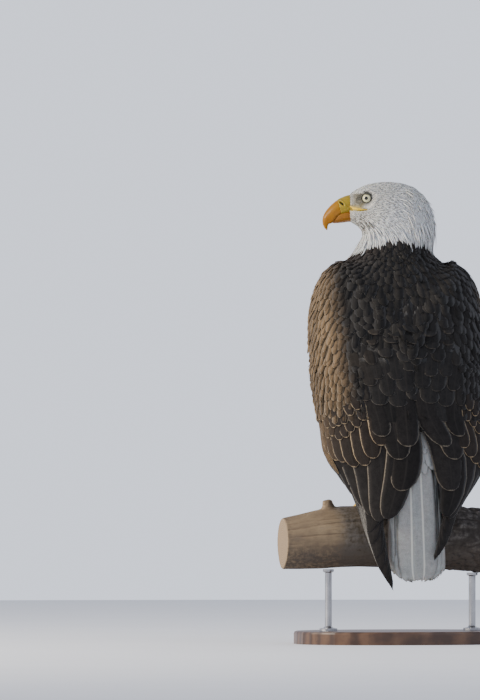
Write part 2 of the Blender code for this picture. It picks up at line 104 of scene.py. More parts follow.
def mergeDoubles(threshold):
    bpy.ops.object.mode_set(mode="EDIT")
    bpy.ops.mesh.select_all(action="SELECT")
    bpy.ops.mesh.remove_doubles(threshold=threshold)
    bpy.ops.object.mode_set(mode="OBJECT")


def gather(label, names):
    # a merged copy of some CAD nodes, as one mesh to work from
    copies = []
    for name in names:
        copies.append(bpy.data.objects.new(label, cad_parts[name].data.copy()))
        bpy.context.scene.collection.objects.link(copies[-1])
    selectOnly(copies[0])
    for copy in copies:
        copy.select_set(True)
    if len(copies) > 1:
        bpy.ops.object.join()
    piece = bpy.context.object
    piece.data.materials.clear()
    mergeDoubles(1e-5)
    return piece


def modify(piece, kind, **settings):
    selectOnly(piece)
    modifier = piece.modifiers.new(kind, kind)
    for key, value in settings.items():
        setattr(modifier, key, value)
    bpy.ops.object.modifier_apply(modifier=modifier.name)


def pointsOf(piece):
    flat = np.empty(len(piece.data.vertices) * 3, np.float32)
    piece.data.vertices.foreach_get("co", flat)
    return flat.reshape(-1, 3).astype(float)


def setPoints(piece, points):
    piece.data.vertices.foreach_set("co", np.asarray(points, np.float32).ravel())
    piece.data.update()


def normalsOf(piece):
    flat = np.empty(len(piece.data.vertices) * 3, np.float32)
    piece.data.vertices.foreach_get("normal", flat)
    return flat.reshape(-1, 3).astype(float)


def treeOf(piece):
    piece.data.calc_loop_triangles()
    flat = np.empty(len(piece.data.loop_triangles) * 3, np.int32)
    piece.data.loop_triangles.foreach_get("vertices", flat)
    return BVHTree.FromPolygons(pointsOf(piece).tolist(), flat.reshape(-1, 3).tolist())


def nearest(tree, points):
    # the closest place on a surface and the normal there, for many points
    places, normals = np.empty_like(points), np.empty_like(points)
    for i, point in enumerate(points):
        place, normal, _, _ = tree.find_nearest(point)
        places[i], normals[i] = place, normal
    return places, normals


def noise3(points, scale, seed):
    # a smooth noise, mostly between -1 and 1: a few waves in different directions
    made = np.zeros(len(points))
    source = np.random.default_rng(seed)
    for _ in range(6):
        direction = unit(source.normal(size=3)) * scale * source.uniform(0.6, 1.5)
        made += np.sin(points @ direction + source.uniform(0, 6.28))
    return made / 3.2


def setGrey(piece, name, values):
    setColour(piece, name, np.tile(values[:, None], (1, 3)))


def setColour(piece, name, colours):
    layer = piece.data.color_attributes.new(name, "FLOAT_COLOR", "POINT")
    full = np.ones((len(colours), 4), np.float32)
    full[:, : colours.shape[1]] = colours
    layer.data.foreach_set("color", full.ravel())


def shadeSoft(piece):
    piece.data.polygons.foreach_set("use_smooth", np.ones(len(piece.data.polygons), bool))


def finishPiece(piece, label, nodes=(), finish=None):
    piece.name = label
    if finish:
        piece.data.materials.clear()
        piece.data.materials.append(finish)
    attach(piece, "root")
    if nodes:
        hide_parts(*nodes)
    return piece


# material helpers: a node by its kind, its settings, and what feeds it

class Finish:
    def __init__(self, name):
        self.material = bpy.data.materials.new(name)
        self.material.use_nodes = True
        self.tree = self.material.node_tree
        self.shader = self.tree.nodes["Principled BSDF"]

    def add(self, kind, inputs=(), **settings):
        node = self.tree.nodes.new(kind)
        for key, value in settings.items():
            setattr(node, key, value)
        for key, value in dict(inputs).items():
            self.feed(node.inputs[key], value)
        return node

    def feed(self, socket, value):
        if isinstance(value, bpy.types.NodeSocket):
            self.tree.links.new(value, socket)
        else:
            socket.default_value = value

    def place(self, kind="Object"):
        return self.add("ShaderNodeTexCoord").outputs[kind]

    def uv(self, name):
        return self.add("ShaderNodeUVMap", uv_map=name).outputs["UV"]

    def colour(self, name):
        return self.add("ShaderNodeAttribute", attribute_name=name)

    def math(self, operation, a, b=0.5):
        return self.add("ShaderNodeMath", {0: a, 1: b}, operation=operation).outputs[0]

    def times(self, a, b):
        return self.math("MULTIPLY", a, b)

    def plus(self, a, b):
        return self.math("ADD", a, b)

    def minus(self, a, b):
        return self.math("SUBTRACT", a, b)

    def shaded(self, colour, shade):
        grey = self.add("ShaderNodeCombineXYZ", {0: shade, 1: shade, 2: shade}).outputs[0]
        return self.blend(1.0, colour, grey, "MULTIPLY")

    def range(self, value, fromLow, fromHigh, toLow=0.0, toHigh=1.0, smooth=True):
        kind = "SMOOTHSTEP" if smooth else "LINEAR"
        inputs = {0: value, 1: fromLow, 2: fromHigh, 3: toLow, 4: toHigh}
        return self.add("ShaderNodeMapRange", inputs, interpolation_type=kind).outputs[0]

    def noise(self, vector, scale, detail=4.0, rough=0.55, stretch=(1, 1, 1)):
        moved = self.add("ShaderNodeMapping", {"Vector": vector, "Scale": stretch}).outputs[0]
        inputs = {"Vector": moved, "Scale": scale, "Detail": detail, "Roughness": rough}
        return self.add("ShaderNodeTexNoise", inputs).outputs["Fac"]

    def blend(self, share, first, second, kind="MIX"):
        node = self.add("ShaderNodeMix", data_type="RGBA", blend_type=kind)
        self.feed(node.inputs[0], share)
        self.feed(node.inputs[6], first)
        self.feed(node.inputs[7], second)
        return node.outputs[2]

    def ramp(self, value, stops):
        node = self.add("ShaderNodeValToRGB", {"Fac": value})
        band = node.color_ramp
        while len(band.elements) < len(stops):
            band.elements.new(0.5)
        for element, (at, colour) in zip(band.elements, stops):
            element.position, element.color = at, (*colour, 1)
        return node.outputs["Color"]

    def bump(self, height, strength, distance=0.001, under=None):
        inputs = {"Height": height, "Strength": strength, "Distance": distance}
        if under:
            inputs["Normal"] = under
        return self.add("ShaderNodeBump", inputs).outputs["Normal"]

    def set(self, **values):
        names = {"colour": "Base Color", "rough": "Roughness", "normal": "Normal", "coat": "Coat Weight",
                 "coatRough": "Coat Roughness", "sheen": "Sheen Weight", "sheenRough": "Sheen Roughness",
                 "metal": "Metallic", "specular": "Specular IOR Level",
                 "subsurface": "Subsurface Weight", "subsurfaceScale": "Subsurface Scale"}
        for key, value in values.items():
            self.feed(self.shader.inputs[names[key]], value)
        return self.material


# camera, floor and light

studio = {
    "cameraTurn": math.radians(168),
    "aim": (0.258, -0.095, 0.4985),
    "distance": 25.0,
    "viewHeight": 1.19,
    "floorHalf": 4.4,
    "keyPower": 228.0,
    "fillPower": 5.0,
    "worldStrength": 0.86,
    "backdrop": 1.36,
}


def makeStudio():
    turn = studio["cameraTurn"]
    towards = Vector((math.sin(turn), -math.cos(turn), 0))
    across = Vector((math.cos(turn), math.sin(turn), 0))  # to the right of the frame
    aim = Vector(studio["aim"])
    bpy.ops.object.camera_add(location=aim + towards * studio["distance"])
    camera = bpy.context.object
    camera.rotation_mode = "QUATERNION"
    camera.rotation_quaternion = (-towards).to_track_quat("-Z", "Y")
    camera.data.sensor_width = 36
    camera.data.lens = 36 * studio["distance"] / studio["viewHeight"]
    camera.data.clip_start, camera.data.clip_end = 0.1, 200
    bpy.context.scene.camera = camera

    bpy.ops.mesh.primitive_circle_add(vertices=96, radius=studio["floorHalf"], fill_type="NGON",
                                      location=(0, 0, 0))
    floor = bpy.context.object
    floor.name = "floor"
    paint = Finish("studio floor")
    grain = paint.noise(paint.place(), 3.0, 3)
    paint.set(colour=paint.ramp(grain, ((0.3, (0.84, 0.855, 0.88)), (0.7, (0.86, 0.875, 0.90)))), rough=0.95,
              specular=0.05)
    floor.data.materials.append(paint.material)

    body = Vector((0.02, 0.0, 0.48))
    lamps = (  # name, direction to the lamp, distance, size, power, colour
        ("key", -across * 0.90 + towards * 0.24 + Vector((0, 0, 0.34)), 4.2, 1.45, studio["keyPower"],
         (1.0, 0.90, 0.76)),
        ("fill", towards * 0.7 + across * 0.8 + Vector((0, 0, 0.9)), 3.2, 1.6, studio["fillPower"],
         (0.86, 0.92, 1.0)),
        ("back", -towards * 0.9 + across * 0.6 + Vector((0, 0, 0.7)), 3.0, 1.8, studio["fillPower"] * 0.8,
         (0.92, 0.95, 1.0)),
    )
    for name, direction, far, size, power, colour in lamps:
        bpy.ops.object.light_add(type="AREA", location=body + direction.normalized() * far)
        lamp = bpy.context.object
        lamp.name = name + " lamp"
        lamp.rotation_mode = "QUATERNION"
        lamp.rotation_quaternion = (-direction).to_track_quat("-Z", "Y")
        lamp.data.shape = "DISK"
        lamp.data.size = size
        lamp.data.energy = power
        lamp.data.color = colour

    world = bpy.data.worlds.new("studio")
    bpy.context.scene.world = world
    world.use_nodes = True
    nodes, links = world.node_tree.nodes, world.node_tree.links
    seen = nodes.new("ShaderNodeBackground")  # the backdrop behind the bird, a little paler than the light
    for node, colour, strength in ((nodes["Background"], (0.76, 0.81, 0.96, 1), studio["worldStrength"]),
                                   (seen, (0.80, 0.85, 0.97, 1), studio["backdrop"])):
        node.inputs["Color"].default_value = colour
        node.inputs["Strength"].default_value = strength
    ray, mixer = nodes.new("ShaderNodeLightPath"), nodes.new("ShaderNodeMixShader")
    links.new(ray.outputs["Is Camera Ray"], mixer.inputs[0])
    links.new(nodes["Background"].outputs[0], mixer.inputs[1])
    links.new(seen.outputs[0], mixer.inputs[2])
    links.new(mixer.outputs[0], nodes["World Output"].inputs["Surface"])
    print("studio: floor, camera and", len(lamps), "lamps")


makeStudio()


# skin: one closed body under all the feathers

skinShape = {
    "voxel": 0.0031,
    "wingCut": 0.372,  # below this a folded wing is feathers only
    "bodyInset": 0.0062,
    "wingInset": 0.0030,  # along the edge of the folded wing
    "neckInset": 0.0050,
    "crownInset": 0.0021,
    "faceInset": 0.0006,
}
fleshNodes = ("head", "neck", "trunk", "wing_left", "wing_right", "thigh_left", "thigh_right")


def eyeFrame(side):
    # centre of the eyeball and the way it looks; side is 1 for the left eye
    ahead, out, up = bird["eyePlace"]
    centre = headPlace(ahead, out * side, up)
    turn = bird["eyeForward"]
    return centre, unit(leftward * side * math.cos(turn) + forward * math.sin(turn))


def eyeAngles(points, side):
    # offsets and distances from the centre of an eyeball, and degrees off the way it looks
    centre, look = eyeFrame(side)
    offset = points - centre
    distance = np.linalg.norm(offset, axis=1)
    angle = np.degrees(np.arccos(np.clip(offset @ look / np.maximum(distance, 1e-9), -1, 1)))
    return offset, distance, angle


def faceShare(points):
    # 1 on the short-feathered face, fading to 0 over crown, cheek and throat
    ahead, side, up = headCoordinates(points)
    reach = np.sqrt(((ahead - 0.064) / 0.034) ** 2 + ((up + 0.004) / 0.030) ** 2)
    eye = np.sqrt(((ahead - 0.0315) / 0.017) ** 2 + ((up - 0.0105) / 0.0135) ** 2)
    return np.maximum(fade(0.7, 1.35, reach), fade(0.75, 1.4, eye)) * (ahead > -0.01)


def insetAt(points):
    ahead, side, up = headCoordinates(points)
    face = faceShare(points)
    headShare = smoothStep(-0.050, -0.005, up)
    depth = mixNumbers(skinShape["neckInset"], skinShape["crownInset"], headShare)
    depth = mixNumbers(depth, skinShape["faceInset"], face)
    bodyShare = fade(0.655, 0.685, points[:, 2])
    depth = mixNumbers(depth, skinShape["bodyInset"], bodyShare)
    wingEdge = (np.abs(points[:, 0]) > 0.085) & (points[:, 2] < 0.47)
    return np.where(wingEdge, skinShape["wingInset"], depth)


def relax(piece, weights, iterations):
    # smooths a piece by a weight for each of its points
    group = piece.vertex_groups.new(name="relax")
    rounded = np.round(weights, 2)
    for weight in np.unique(rounded[rounded > 0]):
        group.add(np.nonzero(rounded == weight)[0].tolist(), float(weight), "REPLACE")
    modify(piece, "SMOOTH", factor=0.5, iterations=iterations, vertex_group="relax")
    piece.vertex_groups.clear()


def makeSkin():
    wings = gather("skin", ("wing_left", "wing_right"))
    bpy.ops.object.mode_set(mode="EDIT")
    bpy.ops.mesh.select_all(action="SELECT")
    bpy.ops.mesh.bisect(plane_co=(0, 0, skinShape["wingCut"]), plane_no=(0, 0, 1), use_fill=True,
                        clear_inner=True)
    bpy.ops.object.mode_set(mode="OBJECT")
    skin = gather("skin", [name for name in fleshNodes if "wing" not in name])
    wings.select_set(True)
    bpy.ops.object.join()
    modify(skin, "REMESH", mode="VOXEL", voxel_size=skinShape["voxel"], adaptivity=0.0)
    points = pointsOf(skin)
    relax(skin, 0.12 + 0.88 * fade(0.665, 0.700, points[:, 2]), 16)
    # the mantle runs smoothly over the inner edges of the wings
    points = pointsOf(skin)
    back = smoothStep(0.0, 0.025, points[:, 1] - 0.75 * (0.62 - points[:, 2]))
    back = back * smoothStep(0.46, 0.52, points[:, 2])
    back = back * fade(0.640, 0.668, points[:, 2]) * fade(0.085, 0.115, np.abs(points[:, 0]))
    relax(skin, back, 140)
    points = pointsOf(skin)
    setPoints(skin, points - normalsOf(skin) * insetAt(points)[:, None])
    modify(skin, "SMOOTH", factor=0.5, iterations=2)

    # finer mesh on the face, where the skin shows
    bpy.ops.object.mode_set(mode="EDIT")
    bpy.ops.mesh.select_all(action="DESELECT")
    bpy.ops.object.mode_set(mode="OBJECT")
    middles = np.array([face.center for face in skin.data.polygons])
    ahead, side, up = headCoordinates(middles)
    chosen = (ahead > 0.012) & (np.abs(up) < 0.033) & (np.abs(middles[:, 2] - headCentre[2]) < 0.05)
    skin.data.polygons.foreach_set("select", chosen)
    bpy.ops.object.mode_set(mode="EDIT")
    bpy.ops.mesh.select_mode(type="FACE")
    bpy.ops.mesh.subdivide(number_cuts=3, smoothness=0.0)
    bpy.ops.object.mode_set(mode="OBJECT")
    shapeFace(skin)
    return skin


gape = {  # the yellow corner of the mouth, from the bill to under the eye
    "front": (0.0640, -0.0055),
    "back": (0.0300, -0.0085),
    "frontHalf": 0.0046,
    "backHalf": 0.0018,
    "swell": 0.0011,
    "bow": 0.0012,
}


def gapeHalf(t):
    return gape["frontHalf"] + (gape["backHalf"] - gape["frontHalf"]) * np.clip(t, 0, 1)


def gapeLine(t):
    return mixNumbers(gape["front"][1], gape["back"][1], t) - gape["bow"] * np.sin(t * math.pi)


def gapeDistance(ahead, up):
    # along the gape from 0 at the bill to 1 at its corner, and the distance off its line
    t = (gape["front"][0] - ahead) / (gape["front"][0] - gape["back"][0])
    return t, up - gapeLine(np.clip(t, 0, 1))


def loresShare(points):
    # the thinly feathered grey hollow between eye and bill, under the brow
    ahead, side, up = headCoordinates(points)
    band = smoothStep(-0.0060, -0.0010, up) * fade(0.0180, 0.0200, up)
    band = band * smoothStep(0.0335, 0.0380, ahead) * (1 - 0.7 * smoothStep(0.050, 0.0605, ahead))
    return band * (np.abs(side) > 0.006)


lids = {
    "radius": 0.0079,
    "roll": 0.00075,
    "outer": 64.0,  # degrees off the way the eye looks
    "inner": 47.0,
    "above": 0.0004,  # the skin under the ring over the eyeball
}


brow = {
    "front": 0.0590,
    "length": 0.0400,
    "height": 0.0190,
    "arch": 0.0035,
    "out": 0.0042,
    "hollow": 0.0014,  # depth of the lores under it
}


def shapeFace(skin):
    points = pointsOf(skin)
    normals = normalsOf(skin)
    ahead, side, up = headCoordinates(points)
    nearHead = (ahead > 0.0) & (np.abs(up) < 0.05)
    # gape: a swollen strip with the mouth's crease in it
    t, off = gapeDistance(ahead, up)
    along = smoothStep(-0.25, 0.0, t) * fade(0.86, 1.06, t)
    off = off - 0.2 * gapeHalf(t)
    swell = np.exp(-((off / gapeHalf(t)) ** 2)) - 1.5 * np.exp(-(((off + 0.6 * gapeHalf(t)) / 0.0007) ** 2))
    points += normals * (nearHead * along * swell * gape["swell"])[:, None]
    for sign in (1, -1):
        offset, distance, angle = eyeAngles(points, sign)
        close = (distance < 0.022) & (side * sign > 0)
        # the skin comes down on the eyeball under the lid ring
        ring = np.clip((angle - lids["inner"]) / (lids["outer"] - lids["inner"]), 0, 1)
        lid = bird["eyeRadius"] + lids["above"]
        onLid = close & (angle >= lids["inner"]) & (angle < lids["outer"])
        inside = close & (angle < lids["inner"])
        target = distance.copy()
        target[onLid] = mixNumbers(lid, np.maximum(distance, lid), smoothStep(0.62, 1.0, ring))[onLid]
        target[inside] = bird["eyeRadius"] * 0.80
        points = eyeFrame(sign)[0] + offset * (target / np.maximum(distance, 1e-9))[:, None]
        # brow: a ledge over the eye, from the lores to behind the eye
        t = (brow["front"] - ahead) / brow["length"]
        onSide = (side * sign > 0.006) & nearHead
        above = up - (brow["height"] + brow["arch"] * np.sin(np.clip(t, 0, 1) * math.pi) ** 0.7)
        ledge = np.exp(-((above / np.where(above > 0, 0.0060, 0.0017)) ** 2))
        ledge = ledge * smoothStep(-0.05, 0.35, t) * fade(0.80, 1.15, t) * brow["out"]
        hollow = loresShare(points) * brow["hollow"]
        points += leftward * sign * ((ledge - hollow) * onSide)[:, None]
    setPoints(skin, points)


def addLids(skin):
    # a rolled lid round each eye, joined to the skin
    for sign in (1, -1):
        centre, look = eyeFrame(sign)
        turn = Vector(look).to_track_quat("Z", "Y").to_euler()
        rise = math.sqrt((bird["eyeRadius"] + 0.0003) ** 2 - lids["radius"] ** 2)
        bpy.ops.object.select_all(action="DESELECT")
        bpy.ops.mesh.primitive_torus_add(major_segments=72, minor_segments=12, major_radius=lids["radius"],
                                         minor_radius=lids["roll"], location=centre + look * rise,
                                         rotation=turn)
        lid = bpy.context.object
        bpy.ops.object.transform_apply(location=True, rotation=True, scale=True)
        points = pointsOf(lid)
        offset = points - centre
        # the lid rises a little towards the brow and pinches in at the corners of the eye
        ahead, up = offset @ forward, offset[:, 2]
        points += look * (0.0005 * smoothStep(0.002, 0.009, up))[:, None]
        points[:, 2] -= 0.0007 * smoothStep(0.004, 0.009, up)
        points += forward * (0.0012 * smoothStep(0.0055, 0.0095, ahead))[:, None]
        setPoints(lid, points)
        selectOnly(skin)
        lid.select_set(True)
        bpy.ops.object.join()


def hiddenTree(label, names):
    # CAD solids to measure from, gone again once their tree is made
    source = gather(label, names)
    tree = treeOf(source)
    bpy.data.objects.remove(source)
    return tree


skin = makeSkin()
addLids(skin)
skinTree = treeOf(skin)
wingTree = hiddenTree("wing source", ("wing_left", "wing_right"))
bodyTree = hiddenTree("body source", ("trunk", "thigh_left", "thigh_right"))
print("skin:", len(skin.data.polygons), "faces")


# lie of the coat

def coatFlow(points, normals):
    # head feathers point away from the bill and turn down the neck; body feathers point down
    ahead, side, up = headCoordinates(points)
    billRoot = headPlace(0.075, 0.0, -0.002)
    away = unit(points - billRoot)
    headShare = smoothStep(-0.085, -0.010, up) * 0.95
    nape = fade(-0.052, -0.012, ahead)
    headShare = headShare * (1 - 0.85 * nape * fade(0.018, 0.046, up))
    down = np.tile((0.0, 0.10, -1.0), (len(points), 1))
    low = fade(0.30, 0.50, points[:, 2])
    down[:, 1] += 0.35 * low * (points[:, 1] < 0.06)
    inwards = 0.25 * np.sign(points[:, 0]) * smoothStep(0.02, 0.10, points[:, 1])
    down[:, 0] -= inwards * smoothStep(0.03, 0.1, np.abs(points[:, 0])) * low
    # small wing coverts run slightly towards the leading edge on the upper wing
    outer = smoothStep(0.075, 0.125, np.abs(points[:, 0])) * smoothStep(0.40, 0.50, points[:, 2])
    down[:, 1] -= 0.22 * outer
    # along the top of each shoulder they run outwards and back
    crest = smoothStep(0.600, 0.640, points[:, 2]) * smoothStep(0.030, 0.055, np.abs(points[:, 0]))
    down[:, 0] += 0.55 * crest * np.sign(points[:, 0])
    down[:, 1] += 0.25 * crest
    flow = down * (1 - headShare)[:, None] + away * headShare[:, None]
    flow -= normals * (flow * normals).sum(1)[:, None]
    return unit(flow)


# scattering: roots spread evenly over the skin, with a spacing that changes from place to place

def scatter(spacingAt, tries=9, seed=1):
    source = np.random.default_rng(seed)
    data = skin.data
    data.calc_loop_triangles()
    corners = np.empty(len(data.loop_triangles) * 3, np.int32)
    data.loop_triangles.foreach_get("vertices", corners)
    corners = corners.reshape(-1, 3)
    points, normals = pointsOf(skin), normalsOf(skin)
    triangle = points[corners]
    middle = triangle.mean(axis=1)
    cross = np.cross(triangle[:, 1] - triangle[:, 0], triangle[:, 2] - triangle[:, 0])
    area = np.linalg.norm(cross, axis=1) / 2
    spacing = spacingAt(middle, normals[corners].mean(axis=1))
    wanted = np.where(spacing > 0, area / np.maximum(spacing, 1e-6) ** 2, 0)
    total = int(wanted.sum() * tries)
    picked = source.choice(len(wanted), total, p=wanted / wanted.sum())
    a, b = source.random(total), source.random(total)
    flip = a + b > 1
    a[flip], b[flip] = 1 - a[flip], 1 - b[flip]
    weights = np.stack((1 - a - b, a, b), axis=1)[:, :, None]
    places = (points[corners[picked]] * weights).sum(axis=1)
    facing = unit((normals[corners[picked]] * weights).sum(axis=1))
    gaps = spacing[picked]
    cell = float(gaps.max())
    keys = np.floor(places / cell).astype(int)
    filled, kept = {}, []
    around = [(i, j, k) for i in (-1, 0, 1) for j in (-1, 0, 1) for k in (-1, 0, 1)]
    placeList, gapList, keyList = places.tolist(), (gaps * gaps).tolist(), keys.tolist()
    facingList = facing.tolist()
    for i in range(total):
        x, y, z = placeList[i]
        kx, ky, kz = keyList[i]
        room = gapList[i]
        fits = True
        for dx, dy, dz in around:
            for ox, oy, oz, other in filled.get((kx + dx, ky + dy, kz + dz), ()):
                if (ox - x) ** 2 + (oy - y) ** 2 + (oz - z) ** 2 < room:
                    nx, ny, nz = facingList[other]
                    mx, my, mz = facingList[i]
                    if nx * mx + ny * my + nz * mz > -0.2:
                        fits = False
                        break
            if not fits:
                break
        if fits:
            filled.setdefault((kx, ky, kz), []).append((x, y, z, i))
            kept.append(i)
    return places[kept], facing[kept]


# one feather of each kind: unit long, unit half wide, closed like a thin lens

featherShapes = {  # share of the length and half width at each row
    "tuft": ((0, 0.35), (0.34, 0.95), (0.70, 0.72), (1, 0.05)),
    "hackle": ((0, 0.30), (0.24, 0.85), (0.50, 1.0), (0.76, 0.66), (0.92, 0.28), (1, 0.03)),
    "contour": ((0, 0.40), (0.28, 0.86), (0.58, 1.0), (0.80, 0.90), (0.93, 0.60), (1, 0.18)),
    "covert": ((0, 0.55), (0.26, 0.88), (0.55, 1.0), (0.80, 0.93), (0.92, 0.70), (0.98, 0.40), (1, 0.14)),
    "quill": ((0, 0.45), (0.12, 0.72), (0.28, 0.92), (0.46, 1.0), (0.64, 1.0), (0.79, 0.93), (0.89, 0.78),
              (0.955, 0.54), (0.99, 0.27), (1, 0.08)),
    "tail": ((0, 0.45), (0.15, 0.75), (0.35, 0.94), (0.58, 1.0), (0.78, 1.0), (0.89, 0.95), (0.945, 0.83),
             (0.975, 0.64), (0.993, 0.38), (1, 0.16)),
    "primary": ((0, 0.50), (0.12, 0.74), (0.28, 0.92), (0.45, 1.0), (0.60, 0.96), (0.74, 0.84), (0.86, 0.65),
                (0.94, 0.42), (0.985, 0.20), (1, 0.05)),
}


def makeTemplate(kind, columns):
    rows = featherShapes[kind]
    bpy.ops.object.select_all(action="DESELECT")
    bpy.ops.mesh.primitive_grid_add(x_subdivisions=columns, y_subdivisions=len(rows) - 1, size=2)
    grid = bpy.context.object
    bpy.ops.object.mode_set(mode="EDIT")
    bpy.ops.mesh.select_all(action="SELECT")
    bpy.ops.mesh.duplicate()
    bpy.ops.mesh.flip_normals()
    bpy.ops.object.mode_set(mode="OBJECT")
    points = pointsOf(grid)
    rim = (np.abs(points[:, 0]) > 0.99) | (np.abs(points[:, 1]) > 0.99)
    half = len(points) // 2
    lifted = np.where(np.arange(len(points)) < half, 1.0, -1.0)
    points[:, 2] = np.where(rim, 0.0, lifted)
    setPoints(grid, points)
    mergeDoubles(0.001)
    points = pointsOf(grid)
    row = np.rint((points[:, 1] + 1) / 2 * (len(rows) - 1)).astype(int)
    faces = np.array([list(face.vertices) for face in grid.data.polygons])
    template = {"across": points[:, 0], "row": row, "side": points[:, 2], "faces": faces,
                "along": np.array([r[0] for r in rows]), "width": np.array([r[1] for r in rows])}
    bpy.data.objects.remove(grid)
    return template


templates = {
    "tuft": makeTemplate("tuft", 2),
    "hackle": makeTemplate("hackle", 2),
    "contour": makeTemplate("contour", 2),
    "covert": makeTemplate("covert", 4),
    "quill": makeTemplate("quill", 6),
    "tail": makeTemplate("tail", 8),
    "primary": makeTemplate("primary", 6),
}


def walk(roots, facing, lengths, along, turn, stiff=0.5):
    # stations of each feather over the skin, from its root with the lie of the coat
    count = len(roots)
    centres, normals, headings = (np.empty((count, len(along), 3)) for _ in range(3))
    place, normal = roots.copy(), facing.copy()
    grip = np.broadcast_to(stiff, count)[:, None]
    heading = coatFlow(place, normal)
    heading = heading * np.cos(turn)[:, None] + np.cross(normal, heading) * np.sin(turn)[:, None]
    centres[:, 0], normals[:, 0], headings[:, 0] = place, normal, heading
    for k in range(1, len(along)):
        step = (lengths * (along[k] - along[k - 1]))[:, None]
        ahead = place + heading * step
        onSkin, skinNormal = nearest(skinTree, ahead)
        pull = onSkin - ahead
        reach = np.linalg.norm(pull, axis=1, keepdims=True)
        pull *= np.minimum(1.0, grip * step / np.maximum(reach, 1e-9))
        fits = (reach < grip * step)[:, 0]
        place = ahead + pull
        normal = unit(np.where(fits[:, None], normal * 0.35 + skinNormal * 0.65, normal))
        fresh = coatFlow(place, normal)
        heading = unit(heading * 0.62 + fresh * 0.38)
        heading = unit(heading - normal * (heading * normal).sum(1)[:, None])
        centres[:, k], normals[:, k], headings[:, k] = place, normal, heading
    return centres, normals, headings


def dress(template, stations, halfWidths, heights, thickness, camber, roll):
    # vertices of every feather: (count, vertices, 3)
    centres, normals, headings = stations
    row, across, side = template["row"], template["across"], template["side"]
    sideways = np.cross(headings, normals)
    width = halfWidths[:, None] * template["width"][row][None, :]
    drop = -camber * across[None, :] ** 2 * width + roll[:, None] * across[None, :] * width
    lift = heights[:, row] + drop + thickness * side[None, :] * (0.4 + 0.6 * template["width"][row])[None, :]
    beside = sideways[:, row] * (across[None, :] * width)[:, :, None]
    return centres[:, row] + beside + normals[:, row] * lift[:, :, None]


def unwrapPlace(points):
    # round the body's upright axis, and up
    turn = np.arctan2(points[:, 0], points[:, 1] + 0.01) / (2 * math.pi) + 0.5
    return np.stack((turn, (points[:, 2] - 0.05) / 0.76), axis=1)


def patchCorners(places, size):
    # a free patch for each feather, as near as can be to its root's place on the unwrap
    cells = int(1 / size)
    wanted = np.clip((unwrapPlace(places) * cells).astype(int), 0, cells - 1)
    taken = set()
    ring = sorted(((i, j) for i in range(-14, 15) for j in range(-14, 15)),
                  key=lambda c: c[0] ** 2 + c[1] ** 2)
    corners = np.empty((len(places), 2))
    for n, (i, j) in enumerate(wanted.tolist()):
        for di, dj in ring:
            spot = (i + di, j + dj)
            if 0 <= spot[0] < cells and 0 <= spot[1] < cells and spot not in taken:
                break
        taken.add(spot)
        corners[n] = spot
    return corners / cells


def featherBatch(template, points, roots, tint, fringe, edge, length, half, oneSided=0.0):
    # feathers of one kind; edge is the width of the fringe, oneSided is 1 where only one edge has it
    count = len(roots)
    return {"template": template, "points": points, "roots": roots, "tint": tint, "fringe": fringe,
            "edge": np.full(count, edge), "length": length, "half": half,
            "oneSided": np.full(count, oneSided)}


def fringeRows(colour, strength):
    return np.column_stack((np.tile(colour, (len(strength), 1)), strength))


def coatPiece(label, batches, patch):
    # joins batches of feathers into one mesh with its maps and colours
    offset, vertices, faces, vane, bake, tints, fringes, measures = 0, [], [], [], [], [], [], []
    roots = np.concatenate([batch["roots"] for batch in batches])
    corners = patchCorners(roots, patch)
    used = 0
    for batch in batches:
        template, made = batch["template"], batch["points"]
        count, size = made.shape[:2]
        vertices.append(made.reshape(-1, 3))
        start = offset + np.arange(count)[:, None, None] * size
        faces.append((start + template["faces"][None]).reshape(-1, 4))
        u = (template["across"] + 1) / 2
        v = template["along"][template["row"]]
        local = np.stack((u, v), axis=1)
        loops = local[template["faces"]].reshape(-1, 2)
        vane.append(np.tile(loops, (count, 1)))
        corner = corners[used: used + count]
        bake.append((corner[:, None, :] + (0.08 + 0.84 * loops[None]) * patch).reshape(-1, 2))
        tints.append(np.repeat(batch["tint"], size, axis=0))
        fringes.append(np.repeat(batch["fringe"], size, axis=0))
        edges = np.stack((batch["edge"] / batch["length"], batch["edge"] / batch["half"], batch["oneSided"]),
                         axis=1)
        measures.append(np.repeat(np.clip(edges, 0, 1), size, axis=0))
        offset += count * size
        used += count
    vertices, faces = np.concatenate(vertices), np.concatenate(faces)
    mesh = bpy.data.meshes.new(label)
    mesh.vertices.add(len(vertices))
    mesh.vertices.foreach_set("co", vertices.astype(np.float32).ravel())
    mesh.loops.add(faces.size)
    mesh.loops.foreach_set("vertex_index", faces.astype(np.int32).ravel())
    mesh.polygons.add(len(faces))
    mesh.polygons.foreach_set("loop_start", np.arange(0, faces.size, 4, dtype=np.int32))
    mesh.polygons.foreach_set("use_smooth", np.ones(len(faces), bool))
    mesh.update(calc_edges=True)
    for name, coordinates in (("OFBake", np.concatenate(bake)), ("vane", np.concatenate(vane))):
        layer = mesh.uv_layers.new(name=name)
        layer.data.foreach_set("uv", coordinates.astype(np.float32).ravel())
    piece = bpy.data.objects.new(label, mesh)
    bpy.context.scene.collection.objects.link(piece)
    setColour(piece, "tint", np.concatenate(tints))
    setColour(piece, "fringe", np.concatenate(fringes))
    setColour(piece, "measure", np.concatenate(measures))
    print(label + ":", len(roots), "feathers,", len(faces) * 2, "triangles")
    return piece


def finishCoat(label, batches, patch, nodes, finish):
    finishPiece(coatPiece(label, batches, patch), label, nodes, finish)


# markings: the same for skin and feathers, from the place on the body

